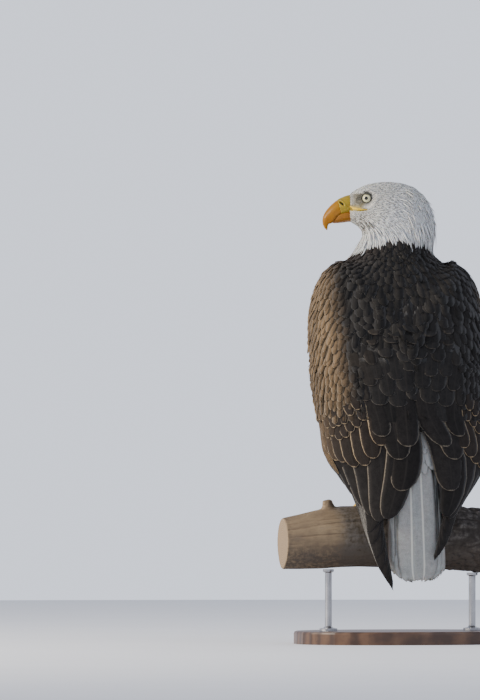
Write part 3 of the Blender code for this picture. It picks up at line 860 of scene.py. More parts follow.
markings = {
    "white": (0.69, 0.68, 0.66),
    "creamWhite": (0.70, 0.65, 0.54),
    "lores": (0.120, 0.104, 0.060),
    "gapeGlow": (0.38, 0.28, 0.045),
    "chinSpeck": (0.10, 0.085, 0.07),
    "mantle": (0.0185, 0.0172, 0.0163),
    "mantleEdge": (0.056, 0.047, 0.039),
    "breast": (0.030, 0.022, 0.017),
    "covert": (0.165, 0.109, 0.058),
    "covertEdge": (0.48, 0.355, 0.215),
    "flight": (0.0165, 0.0145, 0.0135),
    "flightEdge": (0.205, 0.172, 0.130),
    "yellow": (0.72, 0.47, 0.03),
    # painted shade for the crease of the mouth
    "crease": (0.10, 0.06, 0.02),
    "lidRim": (0.055, 0.055, 0.045),
}


def collarAt(points):
    # height at which the white of the neck ends
    around = np.arctan2(points[:, 0] - 0.0, points[:, 1] + 0.055)
    return bird["collarHeight"] + bird["collarRise"] * np.cos(around)


def whiteShare(points):
    # white head and neck, white tail with the feathers round its root
    x, y, z = np.abs(points[:, 0]), points[:, 1], points[:, 2]
    head = z > collarAt(points)
    rump = (z < 0.350) & (y > 0.085) & (x < 0.075)
    vent = (z < 0.322 + 0.35 * (y - 0.06)) & (y > 0.050) & (x < 0.05)
    return (head | rump | vent).astype(float)


def wingPart(points):
    # 1 on the folded wings, 0 on the body beside them
    toWing = np.linalg.norm(nearest(wingTree, points)[0] - points, axis=1)
    toBody = np.linalg.norm(nearest(bodyTree, points)[0] - points, axis=1)
    return smoothStep(-0.002, 0.003, toBody - toWing)


def wingShare(points):
    # how far out a place lies on the brown, faded side of the folded wing
    out = 0.978 * np.abs(points[:, 0]) - 0.208 * points[:, 1]
    out = out - 0.030 * (points[:, 0] < 0)  # painted shade: the right wing gets less of the brown, darker as if in shade
    out = out + 0.016 * fade(0.40, 0.50, points[:, 2]) + 0.006 * noise3(points, 28, 8)
    return smoothStep(0.080, 0.124, out) * wingPart(points) * (points[:, 2] < 0.662)


def coatColours(points, source):
    # colour of each feather and of its fringe; the fringe's alpha is its strength
    count = len(points)
    white = whiteShare(points)
    wing = wingShare(points)
    ahead, side, up = headCoordinates(points)
    breast = fade(-0.05, 0.0, points[:, 1])
    dark = mix(markings["mantle"], markings["breast"], breast)
    faded = wing * (0.45 + 0.55 * smoothStep(0.385, 0.480, points[:, 2]))  # less brown low on the wing
    dark = mix(dark, markings["covert"], faded)
    dark = dark * (1 + 0.18 * noise3(points, 60, 5) + source.normal(0, 0.11, count))[:, None]
    cream = smoothStep(0.2, 0.9, noise3(points, 45, 9) * 0.5 + 0.5)
    pale = mix(markings["white"], markings["creamWhite"], 0.5 * cream)
    pale = pale * (1 + source.normal(0, 0.035, count))[:, None]
    lores = loresShare(points)
    pale = mix(pale, markings["lores"], lores * source.uniform(0.72, 1.0, count))
    # olive yellow between lores and gape
    t, off = gapeDistance(ahead, up)
    glow = fade(0.003, 0.0100, off) * (off > -0.001) * smoothStep(-0.4, 0.0, t) * fade(0.55, 0.95, t)
    glow = glow * (np.abs(side) > 0.006) * (np.abs(up) < 0.03)
    pale = mix(pale, markings["gapeGlow"], glow * 0.8)
    chin = chinShare(points) * (source.random(count) < 0.30)
    pale = mix(pale, markings["chinSpeck"], chin * 0.8)
    tint = mix(dark, pale, white)
    edge = mix(markings["mantleEdge"], markings["covertEdge"], wing)
    edge = mix(edge, tint * 1.06, white)
    fringe = np.column_stack((edge, mixNumbers(0.40, 1.0, wing) * (1 - white)))
    return np.clip(tint, 0.004, 0.9), fringe


def chinShare(points):
    ahead, side, up = headCoordinates(points)
    reach = np.sqrt(((ahead - 0.044) / 0.022) ** 2 + ((up + 0.028) / 0.013) ** 2)
    return fade(0.6, 1.2, reach)


def paintFeathers(label, barbs, rough, sheen, shaft, shaftShare, streaks, soft=0.0):
    # colour and fringe come from the feather, fine barbs and the shaft from its own map
    paint = Finish(label)
    vane = paint.add("ShaderNodeSeparateXYZ", {0: paint.uv("vane")})
    across, along = vane.outputs[0], vane.outputs[1]
    off = paint.times(paint.math("ABSOLUTE", paint.minus(across, 0.5)), 2.0)
    wander = paint.noise(paint.place(), 420.0, 2)
    measure = paint.add("ShaderNodeSeparateColor", {0: paint.colour("measure").outputs["Color"]})
    worn = paint.range(wander, 0.3, 0.7, 0.6, 1.5, False)
    tipWidth = paint.times(measure.outputs[0], worn)
    rimWidth = paint.times(measure.outputs[1], worn)
    tip = paint.range(paint.math("DIVIDE", paint.minus(1.0, along), tipWidth), 1.35, 0.5)
    rim = paint.range(paint.math("DIVIDE", paint.minus(1.0, off), rimWidth), 1.35, 0.5)
    rim = paint.times(rim, paint.range(along, 0.12, 0.35))
    outer = paint.math("MAXIMUM", paint.minus(1.0, measure.outputs[2]), paint.math("LESS_THAN", across, 0.5))
    rim = paint.times(rim, outer)
    fringe = paint.colour("fringe")
    border = paint.times(paint.math("MAXIMUM", rim, tip), fringe.outputs["Alpha"])
    tint = paint.colour("tint").outputs["Color"]
    # barbs slant from the shaft to the edge
    slant = paint.plus(paint.times(along, barbs), paint.times(off, -barbs * 0.12))
    wave = paint.math("SINE", paint.times(slant, 6.2832))
    streak = paint.noise(paint.place(), 750.0, 4, 0.7)
    cloud = paint.noise(paint.place(), 110.0, 3, 0.6)
    mottle = paint.plus(paint.times(streak, 0.65), paint.times(cloud, 0.35))
    flecks = paint.range(mottle, 0.32, 0.68, 1 - streaks, 1 + streaks, False)
    shade = paint.plus(paint.times(wave, 0.03), flecks)
    colour = paint.blend(border, paint.shaded(tint, shade), fringe.outputs["Color"])
    spine = paint.times(paint.range(off, 0.09, 0.03), shaftShare)
    colour = paint.blend(spine, colour, (*shaft, 1))
    height = paint.plus(paint.times(wave, 0.25), paint.times(streak, 1.0))
    return paint.set(colour=colour, rough=rough, normal=paint.bump(height, 0.35, 0.0004), specular=0.12,
                     sheen=sheen, sheenRough=0.4, subsurface=soft, subsurfaceScale=0.004)


whiteFeather = paintFeathers("white feather", barbs=40, rough=0.70, sheen=0.1, shaft=(0.80, 0.79, 0.75),
                             shaftShare=0.10, streaks=0.05, soft=0.08)
darkFeather = paintFeathers("dark body feather", barbs=40, rough=0.85, sheen=0.12,
                            shaft=(0.014, 0.012, 0.011), shaftShare=0.35, streaks=0.62)


def paintSkin():
    paint = Finish("skin")
    tint = paint.colour("tint").outputs["Color"]
    pores = paint.noise(paint.place(), 900.0, 4, 0.6)
    shade = paint.range(pores, 0.3, 0.7, 0.82, 1.12, False)
    return paint.set(colour=paint.shaded(tint, shade), rough=0.55, normal=paint.bump(pores, 0.3, 0.0006),
                     specular=0.3)


def colourSkin():
    points = pointsOf(skin)
    tint = coatColours(points, np.random.default_rng(3))[0]
    ahead, side, up = headCoordinates(points)
    t, off = gapeDistance(ahead, up)
    near = (ahead > 0.0) & (np.abs(up) < 0.04)
    along = smoothStep(-0.3, -0.05, t) * fade(0.90, 1.10, t) * near
    off = off - 0.2 * gapeHalf(t) + 0.0006 * noise3(points, 260, 3)
    yellow = along * np.exp(-((off / (gapeHalf(t) * 1.05)) ** 4))
    tint = mix(tint, markings["yellow"], yellow)
    # painted shade: the crease of the mouth is darkened
    crease = along * np.exp(-(((off + 0.6 * gapeHalf(t)) / 0.0007) ** 2)) * (t < 0.95)
    tint = mix(tint, markings["crease"], crease * 0.85)
    for sign in (1, -1):
        _, distance, angle = eyeAngles(points, sign)
        lid = (distance < 0.0155) & (side * sign > 0)
        rim = lid * fade(50.0, 60.0, angle)
        tint = mix(tint, markings["lidRim"], rim)
    setColour(skin, "tint", tint)


colourSkin()
finishPiece(skin, "skin", fleshNodes, paintSkin())
shadeSoft(skin)


# head and neck feathers

headCoat = {
    "faceSpacing": 0.00135,
    "crownSpacing": 0.00175,
    "neckSpacing": 0.00255,
    "faceLength": 0.0048,
    "crownLength": 0.0160,
    "neckLength": 0.0400,
    "faceHalf": 0.00064,
    "crownHalf": 0.00165,
    "neckHalf": 0.0026,
    "faceLift": 0.0005,
    "crownLift": 0.0007,
    "neckLift": 0.0022,
    "edge": 0.001,
    "patch": 0.003,  # side of a feather's place on the bake map
}


def bareShare(points):
    # eyes, lids, gape and the edge of the bill stay free of feathers
    ahead, side, up = headCoordinates(points)
    bare = np.zeros(len(points))
    for sign in (1, -1):
        _, distance, angle = eyeAngles(points, sign)
        bare = np.maximum(bare, (angle < 52) & (distance < 0.018))
    t, off = gapeDistance(ahead, up)
    bare = np.maximum(bare, (t > -0.4) & (t < 0.97) & (np.abs(off - 0.2 * gapeHalf(t)) < gapeHalf(t) * 0.85))
    return np.maximum(bare, ahead > 0.0620)


def neckShare(points):
    ahead, side, up = headCoordinates(points)
    return fade(-0.062, -0.012, up + 0.25 * np.minimum(ahead + 0.01, 0))


def overHead(measure, face, neck):
    # a measure that runs from the crown's to the neck's, and to the face's
    between = mixNumbers(headCoat["crown" + measure], headCoat["neck" + measure], neck)
    return mixNumbers(between, headCoat["face" + measure], face)


def headSpacing(points, normals):
    face, neck = faceShare(points), neckShare(points)
    spacing = overHead("Spacing", face, neck) * (1 + 0.35 * loresShare(points))
    return np.where((points[:, 2] > collarAt(points) + 0.006) & (bareShare(points) < 0.5), spacing, 0)


def growHead():
    source = np.random.default_rng(21)
    roots, facing = scatter(headSpacing, 9, 4)
    face, neck = faceShare(roots), neckShare(roots)
    lores = loresShare(roots)
    count = len(roots)
    length = overHead("Length", face, neck)
    length = length * (1 - 0.45 * lores) * source.uniform(0.75, 1.25, count)
    # hackles by the collar end near its line
    room = roots[:, 2] - collarAt(roots)
    length = np.where(neck > 0.5, np.clip(room * 1.1 + source.normal(0.013, 0.005, count), 0.020, length),
                      length)
    half = overHead("Half", face, neck)
    half = half * (1 - 0.40 * lores) * source.uniform(0.8, 1.2, count)
    turn = source.normal(0, 0.10, count)
    tint, fringe = coatColours(roots, source)
    tipLift = overHead("Lift", face, neck) * source.uniform(0.6, 1.4, count)
    ahead, side, up = headCoordinates(roots)
    nape = (ahead < -0.02) & (up < 0.03) & (up > -0.055)
    chin = (ahead > 0.018) & (up < -0.022) & (up > -0.055) & (face < 0.6)
    wild = (nape | chin) & (source.random(count) < 0.05) & (face < 0.6)
    tipLift[wild] += source.uniform(0.001, 0.0055, wild.sum())
    for kind, label, chosen in (("tuft", "head_tufts", neck < 0.45),
                                ("hackle", "neck_hackles", neck >= 0.45)):
        template = templates[kind]
        number = int(chosen.sum())
        stations = walk(roots[chosen], facing[chosen], length[chosen], template["along"], turn[chosen])
        rise = template["along"][None, :] ** 0.85
        heights = -0.0004 * (1 - face[chosen])[:, None] + tipLift[chosen][:, None] * rise
        heights = heights + source.uniform(0, 0.0003, number)[:, None]
        thickness = np.where(face[chosen] > 0.5, 0.00008, 0.00012)[:, None]
        made = dress(template, stations, half[chosen], heights, thickness, 0.12,
                     source.normal(0, 0.07, number))
        batch = featherBatch(template, made, roots[chosen], tint[chosen], fringe[chosen], headCoat["edge"],
                             length[chosen], half[chosen])
        finishCoat(label, [batch], headCoat["patch"], (), whiteFeather)


growHead()


# body feathers on breast, back, belly and thighs, and the small coverts of the wings

bodyCoat = {
    "spacing": 0.0078,
    "length": 0.031,
    "halfWidth": 0.0086,
    "thighLength": 0.038,
    "kneeHeight": 0.275,  # no tip of the thigh reaches below it
    "covertSpacing": 0.0090,
    "covertLength": 0.029,
    "covertHalfWidth": 0.0057,
    "wingEnd": 0.402,  # height at which the small coverts give way to the large feathers
    "kneeTop": 0.32,
    "underKnee": 0.305,
    "collarTop": (0.60, 0.66),  # they get smaller from here to here
    "grooveFill": 0.0025,
    "patch": 0.006,
    "edge": 0.0010,
}


def mantleShare(points):
    # the broad soft feathers between the wings
    back = smoothStep(-0.010, 0.020, points[:, 1] - 0.5 * (0.64 - points[:, 2]))
    back = back * smoothStep(0.40, 0.46, points[:, 2]) * fade(0.635, 0.672, points[:, 2])
    return back * (1 - wingShare(points))


def bodySpacing(points, normals):
    wing = wingShare(points)
    spacing = mixNumbers(bodyCoat["spacing"], bodyCoat["covertSpacing"], wing)
    top = smoothStep(*bodyCoat["collarTop"], points[:, 2])
    spacing = spacing * (1 - 0.30 * top) * (1 + 0.28 * mantleShare(points))
    # none where the skin of the wing ends, or under the knee
    x, y, z = np.abs(points[:, 0]), points[:, 1], points[:, 2]
    onWing = wingPart(points)
    wingEnd = (z < bodyCoat["wingEnd"]) & (onWing > 0.5)
    underKnee = (z < bodyCoat["underKnee"]) | ((z < bodyCoat["kneeTop"]) & (normals[:, 2] < -0.12))
    underKnee &= y < 0.05
    underWing = (y > 0.030) & (z > 0.30) & (z < 0.50) & (x > 0.012) & (onWing < 0.5)
    return np.where((z < collarAt(points) - 0.001) & ~wingEnd & ~underKnee & ~underWing, spacing, 0)


def growBody():
    source = np.random.default_rng(31)
    roots, facing = scatter(bodySpacing, 9, 6)
    count = len(roots)
    wing = wingShare(roots)
    thigh = ((roots[:, 2] < 0.40) & (roots[:, 1] < 0.045) & (np.abs(roots[:, 0]) < 0.10)).astype(float)
    top = smoothStep(*bodyCoat["collarTop"], roots[:, 2])
    length = mixNumbers(mixNumbers(bodyCoat["length"], bodyCoat["covertLength"], wing),
                        bodyCoat["thighLength"], thigh)
    length = length * (1 - 0.28 * top) * source.uniform(0.88, 1.12, count)
    knee = roots[:, 2] < bodyCoat["kneeTop"]
    kneeRoom = np.clip(roots[:, 2] - bodyCoat["kneeHeight"], 0.012, 1)
    length = np.where(knee, np.minimum(length, kneeRoom), length)
    grip = np.where(knee, 0.16, 0.45)
    half = mixNumbers(bodyCoat["halfWidth"], bodyCoat["covertHalfWidth"], wing)
    half = half * (1 - 0.28 * top) * source.uniform(0.9, 1.1, count)
    half = np.where(knee, half * np.clip(length / 0.030, 0.5, 0.8), half)
    mantle = mantleShare(roots)
    length, half = length * (1 + 0.42 * mantle), half * (1 + 0.38 * mantle)
    turn = source.normal(0, 0.07, count)
    tint, fringe = coatColours(roots, source)
    lift = (0.0026 + 0.0012 * wing - 0.0006 * mantle) * source.uniform(0.8, 1.2, count)
    # the groove between the folded wings is filled
    groove = np.exp(-((roots[:, 0] / 0.020) ** 2)) * smoothStep(0.43, 0.47, roots[:, 2])
    groove = groove * fade(0.56, 0.60, roots[:, 2]) * (roots[:, 1] > 0.03) * bodyCoat["grooveFill"]
    side = np.where(wing > 0.5, np.where(roots[:, 0] > 0, 1, 2), 0)
    for number, label, slotName in ((0, "body_feathers", "body_feathers"),
                                    (1, "wing_coverts_left", "wing_feathers"),
                                    (2, "wing_coverts_right", "wing_feathers")):
        chosen = side == number
        total = int(chosen.sum())
        template = templates["contour"]
        stations = walk(roots[chosen], facing[chosen], length[chosen], template["along"], turn[chosen],
                        grip[chosen])
        heights = -0.0006 + lift[chosen][:, None] * template["along"][None, :] ** 0.8
        heights = heights + source.uniform(0, 0.0004, total)[:, None] + groove[chosen][:, None]
        made = dress(template, stations, half[chosen], heights, 0.00020, 0.07, source.normal(0, 0.05, total))
        batch = featherBatch(template, made, roots[chosen], tint[chosen], fringe[chosen], bodyCoat["edge"],
                             length[chosen], half[chosen])
        finishCoat(label, [batch], bodyCoat["patch"], (), darkFeather)


growBody()


# cuffs: short feathers in rows that close the end of each thigh round the leg

cuff = {
    "rows": ((0.330, 0.288, 31), (0.319, 0.279, 27), (0.309, 0.271, 23), (0.300, 0.263, 19),
             (0.292, 0.256, 16)),  # height of the roots and of the tips, number of feathers
    "thighEnd": 0.2815,
    "foot": (-0.0030, 0.0125),  # the lowest ring: its place fore and aft, and its radius
    "height": 0.257,
    "halfWidth": (0.003, 0.0062),  # least and most
    "patch": 0.012,
}


def growCuffs():
    source = np.random.default_rng(61)
    template = templates["contour"]
    along = template["along"]
    for name in ("left", "right"):
        tree = hiddenTree("thigh source", ("thigh_" + name,))
        low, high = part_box("tarsus_" + name)
        centre = (np.array(low) + np.array(high)) / 2
        ring = np.array((centre[0], cuff["foot"][0], 0.0))
        stations, halves = [], []
        for rootHeight, tipHeight, number in cuff["rows"]:
            for i in range(number):
                angle = 2 * math.pi * (i + 0.5 * (number % 2)) / number + source.normal(0, 0.05)
                out = np.array((math.cos(angle), math.sin(angle), 0.0))
                line = []
                for height in rootHeight + (tipHeight - rootHeight) * along:
                    start = np.array((centre[0], centre[1], max(height, cuff["thighEnd"]))) + out * 0.2
                    hit = tree.ray_cast(Vector(start), Vector(-out))[0]
                    share = float(smoothStep(0.302, cuff["height"], np.array(height)))
                    onLeg = ring + out * cuff["foot"][1] + (0, 0, height)
                    line.append(mixNumbers(np.array((hit.x, hit.y, height)), onLeg, share))
                line = np.array(line)
                heading = unit(np.gradient(line, axis=0))
                normal = unit(out - heading * (heading @ out)[:, None])
                stations.append((line, normal, heading))
                girth = 2 * math.pi * np.linalg.norm(line[3, :2] - centre[:2])
                halves.append(girth / number * 0.74)
        lines, normals, headings = (np.array([row[k] for row in stations]) for k in range(3))
        count = len(lines)
        roots = lines[:, 0]
        tint, fringe = coatColours(roots + (0, -0.02, 0), source)
        deep = -0.0075 * smoothStep(0.300, 0.325, roots[:, 2])[:, None] - 0.0012
        heights = deep + (0.0012 - deep) * along[None, :] ** 0.75 + source.uniform(0, 0.0004, count)[:, None]
        halves = np.clip(halves, *cuff["halfWidth"])
        roll = source.normal(0, 0.05, count)
        made = dress(template, (lines, normals, headings), halves, heights, 0.00020, 0.16, roll)
        length = np.linalg.norm(lines[:, -1] - lines[:, 0], axis=1)
        batch = featherBatch(template, made, roots, tint, fringe, bodyCoat["edge"], length, halves)
        finishCoat("thigh_cuff_" + name, [batch], cuff["patch"], (), darkFeather)


growCuffs()


# sheets: the outer face of each folded wing and both faces of the tail, as grids of points by share of the
# width and by height, on which the large feathers are laid

def finishSheet(levels, rows, sign):
    grid = np.array(rows)
    for _ in range(3):  # smooth down the sheet
        grid[1:-1] = grid[1:-1] * 0.5 + (grid[:-2] + grid[2:]) * 0.25
    across, down = np.gradient(grid, axis=1), -np.gradient(grid, axis=0)
    length = np.linalg.norm(np.diff(grid, axis=1), axis=2).sum(axis=1)
    normal = unit(np.cross(down, across) * sign)
    return {"levels": levels, "grid": grid, "normal": normal, "across": unit(across), "length": length}


def evenly(found, columns):
    length = np.concatenate(([0], np.cumsum(np.linalg.norm(np.diff(found, axis=0), axis=1))))
    share = np.linspace(0, length[-1], columns)
    return np.stack([np.interp(share, length, found[:, axis]) for axis in range(3)], axis=1)


def wingSheet(side):
    # share 0 is the leading edge, share 1 the edge over the back
    sign = 1 if side == "left" else -1
    tree = hiddenTree("sheet source", ("wing_" + side, "wing_" + side + "_primaries"))
    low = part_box("wing_" + side + "_primaries")[0].z
    levels = np.concatenate((np.linspace(low + 0.0015, 0.30, 44), np.linspace(0.305, 0.652, 50)))
    rows = []
    for level in levels:
        middle = float(np.interp(level, (0.09, 0.28, 0.45, 0.65), (0.112, 0.035, -0.015, -0.040)))
        found = []
        for turn in np.radians(np.arange(-40, 205, 1.25)):
            out = Vector((math.sin(turn) * sign, math.cos(turn), 0))
            centre = Vector((0, middle, level))
            hit = tree.ray_cast(centre + out * 0.4, -out, 0.42)[0]
            if hit is not None and (hit - centre).dot(out) > 0.004:
                found.append(hit)
        rows.append(evenly(np.array(found)[::-1], 33))
    return finishSheet(levels, rows, sign)


def tailSheet(back):
    # share 0 is the bird's left edge; back is True for the upper face
    tree = hiddenTree("sheet source", ("tail",))
    levels, rows = np.linspace(0.1065, 0.380, 40), []
    for level in levels:
        found = []
        for x in np.linspace(0.056, -0.056, 113):
            start = Vector((x, 0.4 if back else -0.2, level))
            hit = tree.ray_cast(start, Vector((0, -1 if back else 1, 0)), 0.6)[0]
            if hit is not None:
                found.append(hit)
        rows.append(evenly(np.array(found), 33))
    return finishSheet(levels, rows, 1 if back else -1)


def onSheet(sheet, share, height):
    # point and normal of the sheet for arrays of shares and heights; past its edges it runs on straight
    grid, levels = sheet["grid"], sheet["levels"]
    row = np.clip(np.interp(height, levels, np.arange(len(levels))), 0, len(levels) - 1.001)
    inside = np.clip(share, 0, 1)
    column = inside * (grid.shape[1] - 1.001)
    r, c = row.astype(int), column.astype(int)
    fr, fc = (row - r)[..., None], (column - c)[..., None]

    def read(table):
        top = table[r, c] * (1 - fc) + table[r, c + 1] * fc
        low = table[r + 1, c] * (1 - fc) + table[r + 1, c + 1] * fc
        return top * (1 - fr) + low * fr

    length = np.interp(height, levels, sheet["length"])
    place, normal = read(grid), unit(read(sheet["normal"]))
    place[..., 2] += height - np.clip(height, levels[0], levels[-1])
    beyond = (share - inside) * length
    place = place + read(sheet["across"]) * beyond[..., None] - normal * (np.abs(beyond) * 0.35)[..., None]
    return place, normal


def quillRows(rootShare, rootHeight, tipShare, tipHeight, half, rootDepth, tipDepth, lean=0.0):
    # a row for each quill; lean says where its share lies: -1 at the outer edge, 0 on the shaft
    columns = (rootShare, rootHeight, tipShare, tipHeight, half, rootDepth, tipDepth, lean)
    return np.stack(np.broadcast_arrays(*columns), axis=1).astype(float)


def layQuills(sheet, template, quills, source, thickness=0.0004, ragged=0.0, tilt=0.0, camber=0.035):
    columns = (quills[:, i: i + 1] for i in range(8))
    rootShare, rootHeight, tipShare, tipHeight, half, rootDepth, tipDepth, lean = columns
    row, across, side = template["row"], template["across"][None], template["side"][None]
    v, width = template["along"][row][None], template["width"][row][None]
    height = rootHeight + (tipHeight - rootHeight) * v
    length = np.interp(height, sheet["levels"], sheet["length"])
    height = height + ragged * source.uniform(0, 1, height.shape) * smoothStep(0.93, 1.0, v)
    share = rootShare + (tipShare - rootShare) * v
    offset = (across - lean) * half * width
    share = share + offset / np.maximum(length, 0.02)
    place, normal = onSheet(sheet, share, height)
    ripple = 0.00025 * np.sin(v * 9 + source.uniform(0, 6, (len(quills), 1)) + across * 2)
    vault = -(camber * np.abs(across) ** 2.2 + tilt * across) * half * width
    depth = rootDepth + (tipDepth - rootDepth) * v + vault + ripple + thickness * side * (0.35 + 0.65 * width)
    made = place + normal * depth[..., None]
    centre, _ = onSheet(sheet, rootShare[:, 0], rootHeight[:, 0])
    return made, centre


# share at which the scapulars end, by height
scapularLimit = ((0.37, 0.62), (0.42, 0.58), (0.45, 0.64), (0.48, 0.70), (0.52, 0.76), (0.60, 0.80))
wingTip = {"left": 0.0905, "right": 0.1400}
largeFeathers = {
    "covertDark": (0.025, 0.0195, 0.016),
    "primaryEdge": (0.46, 0.43, 0.38),
    "mantle": (0.0180, 0.0168, 0.0160),
    "tertialEdge": (0.185, 0.155, 0.115),
    "scapularEdge": (0.125, 0.103, 0.080),
    "flightPatch": 0.05,
    "covertPatch": 0.03,
}


def tipLine(shares, table):
    return np.interp(shares, [row[0] for row in table], [row[1] for row in table])


def growWing(name):
    sheet, tip = sheets[name], wingTip[name]
    source = np.random.default_rng(41 if name == "left" else 42)
    tracts = []

    def jitter(size, count):
        return source.normal(0, size, count)

    # primaries: the longest lies outermost and deepest; each is set by its outer edge
    steps = np.array((0.0, 0.003, 0.007, 0.013, 0.022, 0.036, 0.056, 0.080, 0.100))
    k = np.linspace(0, 1, len(steps))
    primaries = quillRows(0.012 + 0.36 * k, 0.330, 0.04 + 0.30 * k, tip + steps * (0.30 - tip) / 0.21,
                          0.0205 + 0.0005 * k, -0.0122 + 0.0016 * k, -0.0046 + 0.0020 * k, -1)
    tracts.append(("primaries", "primary", primaries, "flight", "primaryEdge", 0.9, 0.0009))

    # secondaries, each inner one over the next outer one
    share = np.array((0.10, 0.17, 0.25, 0.36, 0.50, 0.66, 0.85))
    tips = np.array((0.284, 0.266, 0.250, 0.234, 0.219, 0.2095, 0.213))
    if name == "right":
        tips = tips + 0.004
    k = np.linspace(0, 1, len(share))
    secondaries = quillRows(share + 0.04, 0.400, share, tips, 0.0190 + 0.006 * k, -0.0070 + 0.0024 * k,
                            -0.0034 + 0.0020 * k)
    tracts.append(("secondaries", "quill", secondaries, "flight", "flightEdge", 0.9, 0.0016))

    # primary coverts and alula along the outer edge
    k = np.linspace(0, 1, 8)
    edgeCoverts = quillRows(-0.02 + 0.15 * k, 0.440 - 0.045 * k, 0.01 + 0.13 * k,
                            0.330 - 0.038 * k + jitter(0.003, len(k)), 0.0080, -0.0046 + 0.0006 * k,
                            -0.0022 + 0.0012 * k)
    tracts.append(("edgeCoverts", "quill", edgeCoverts, "covert", "covertEdge", 0.8, 0.0011))

    # greater coverts
    share = np.array((0.12, 0.17, 0.225, 0.30, 0.40, 0.515, 0.61, 0.70))
    tips = np.array((0.338, 0.324, 0.312, 0.3060, 0.2985, 0.303, 0.316, 0.334))
    k = np.linspace(0, 1, len(share))
    greater = quillRows(share + 0.01, tips + 0.095, share, tips + jitter(0.0015, len(k)), 0.0125 + 0.006 * k,
                        -0.0048 + 0.0008 * k, -0.0018 + 0.0012 * k)
    tracts.append(("greater", "quill", greater, "covertDark", "covertEdge", 0.7, 0.0015))

    # median coverts, in two rows
    lowest = ((0.08, 0.362), (0.2, 0.350), (0.3, 0.345), (0.42, 0.352), (0.6, 0.385))  # share, height
    for row in range(2):
        share = np.arange(0.08 + 0.03 * row, 0.58, 0.062)
        count = len(share)
        k = np.linspace(0, 1, count)
        tips = tipLine(share, lowest) + 0.021 * row
        median = quillRows(share, tips + 0.056, share + jitter(0.006, count), tips + jitter(0.003, count),
                           0.0092 + 0.0015 * k, -0.0040 + 0.0006 * row, -0.0010 + 0.0006 * k + 0.0005 * row)
        tracts.append(("median", "covert", median, "covert", "covertEdge", 0.9, 0.0012))

    # tertials over the inner secondaries
    tertials = quillRows(np.array((0.92, 0.80, 0.93, 0.68)), (0.400, 0.420, 0.435, 0.430),
                         (0.945, 0.860, 0.940, 0.720), (0.2605, 0.3130, 0.3350, 0.3520),
                         (0.0280, 0.0240, 0.0230, 0.0200), (-0.0042, -0.0036, -0.0032, -0.0034),
                         (-0.0004, 0.0001, 0.0005, 0.0003))
    tracts.append(("tertials", "quill", tertials, "flight", "tertialEdge", 0.9, 0.0018))

    # scapulars: rows of broad dark feathers between wing and back
    rows = []
    for i, tipHeight in enumerate((0.378, 0.405, 0.431, 0.456, 0.480, 0.503, 0.524)):
        upper = float(smoothStep(0.42, 0.53, np.array(tipHeight)))
        limit = tipLine([tipHeight], scapularLimit)[0]
        inner = 0.96 - (0.07 if i % 2 else 0) - 0.17 * float(smoothStep(0.50, 0.58, np.array(tipHeight)))
        if name == "left":  # one more over the groove between the wings
            inner += 0.130
        for share in np.arange(inner, limit + source.uniform(-0.05, 0.03), -0.135 + 0.020 * upper):
            size = (0.0135 + 0.0045 * smoothStep(0.0, 0.2, share - limit)) * (1 - 0.26 * upper)
            size = size * source.uniform(0.9, 1.1)
            rows.append((share - 0.01, tipHeight + 0.056 - 0.030 * upper, share + source.normal(0, 0.014),
                         tipHeight + source.normal(0, 0.0055), size, -0.0034 - 0.0080 * upper,
                         -0.0012 - 0.0010 * upper, 0.0))
    tracts.append(("scapulars", "covert", np.array(rows), "mantle", "scapularEdge", 0.75, 0.0012))

    palette = {**markings, **largeFeathers}
    batches = {"flight": [], "coverts": []}
    for label, kind, quills, tint, edge, strength, rim in tracts:
        template = templates[kind]
        count = len(quills)
        shingled = label in ("primaries", "secondaries", "greater")
        thickness = 0.0004 if kind in ("quill", "primary") else 0.0003
        made, roots = layQuills(sheet, template, quills, source, thickness, 0, 0.055 if shingled else 0.0,
                                0.010 if shingled else 0.035)
        shade = 1 + source.normal(0, 0.10, (count, 1))
        covert = np.array(markings["covert"]) * shade
        colour = np.clip(np.array(palette[tint]) * shade, 0.004, 0.9)
        if label in ("greater", "median"):  # browner towards the outer edge
            # painted shade: the right wing's coverts get about half the brown, darker as if in shade
            brown = fade(0.08, 0.34, quills[:, 0]) * (0.62 if name == "left" else 0.3)
            colour = mix(np.array(palette["covertDark"]) * shade, covert, brown)
        if label == "scapulars":  # the outer ones shade into the brown coverts
            limit = tipLine(quills[:, 3], scapularLimit)
            # painted shade: less brown again on the right wing
            outer = fade(0.02, 0.15, quills[:, 2] - limit) * (0.10 if name == "left" else 0.05)
            colour = mix(colour, covert * 0.5, outer)
        if label == "edgeCoverts":
            colour = colour * 0.62
        worn = source.uniform(0.15, 1.0, count) if label == "scapulars" else np.ones(count)
        oneSided = label in ("primaries", "secondaries")
        length = (quills[:, 1] - quills[:, 3]) * (9 if oneSided else 1)
        group = "flight" if oneSided or label == "tertials" else "coverts"
        fringe = fringeRows(palette[edge], strength * worn)
        batches[group].append(featherBatch(template, made, roots, colour, fringe, rim, length, quills[:, 4],
                                           float(oneSided)))
    finishCoat("flight_feathers_" + name, batches["flight"], largeFeathers["flightPatch"],
               ("wing_" + name + "_primaries",), largeFeather)
    finishCoat("large_coverts_" + name, batches["coverts"], largeFeathers["covertPatch"],
               (), largeFeather)


largeFeather = paintFeathers("dark vane", barbs=150, rough=0.80, sheen=0.10, shaft=(0.030, 0.026, 0.023),
                             shaftShare=0.5, streaks=0.60)
tailFeather = paintFeathers("white vane", barbs=150, rough=0.72, sheen=0.08, shaft=(0.66, 0.63, 0.56),
                            shaftShare=0.75, streaks=0.30, soft=0.10)
sheets = {side: wingSheet(side) for side in ("left", "right")}
growWing("left")
growWing("right")


# tail: twelve white feathers, the middle pair on top, with coverts over and under their roots

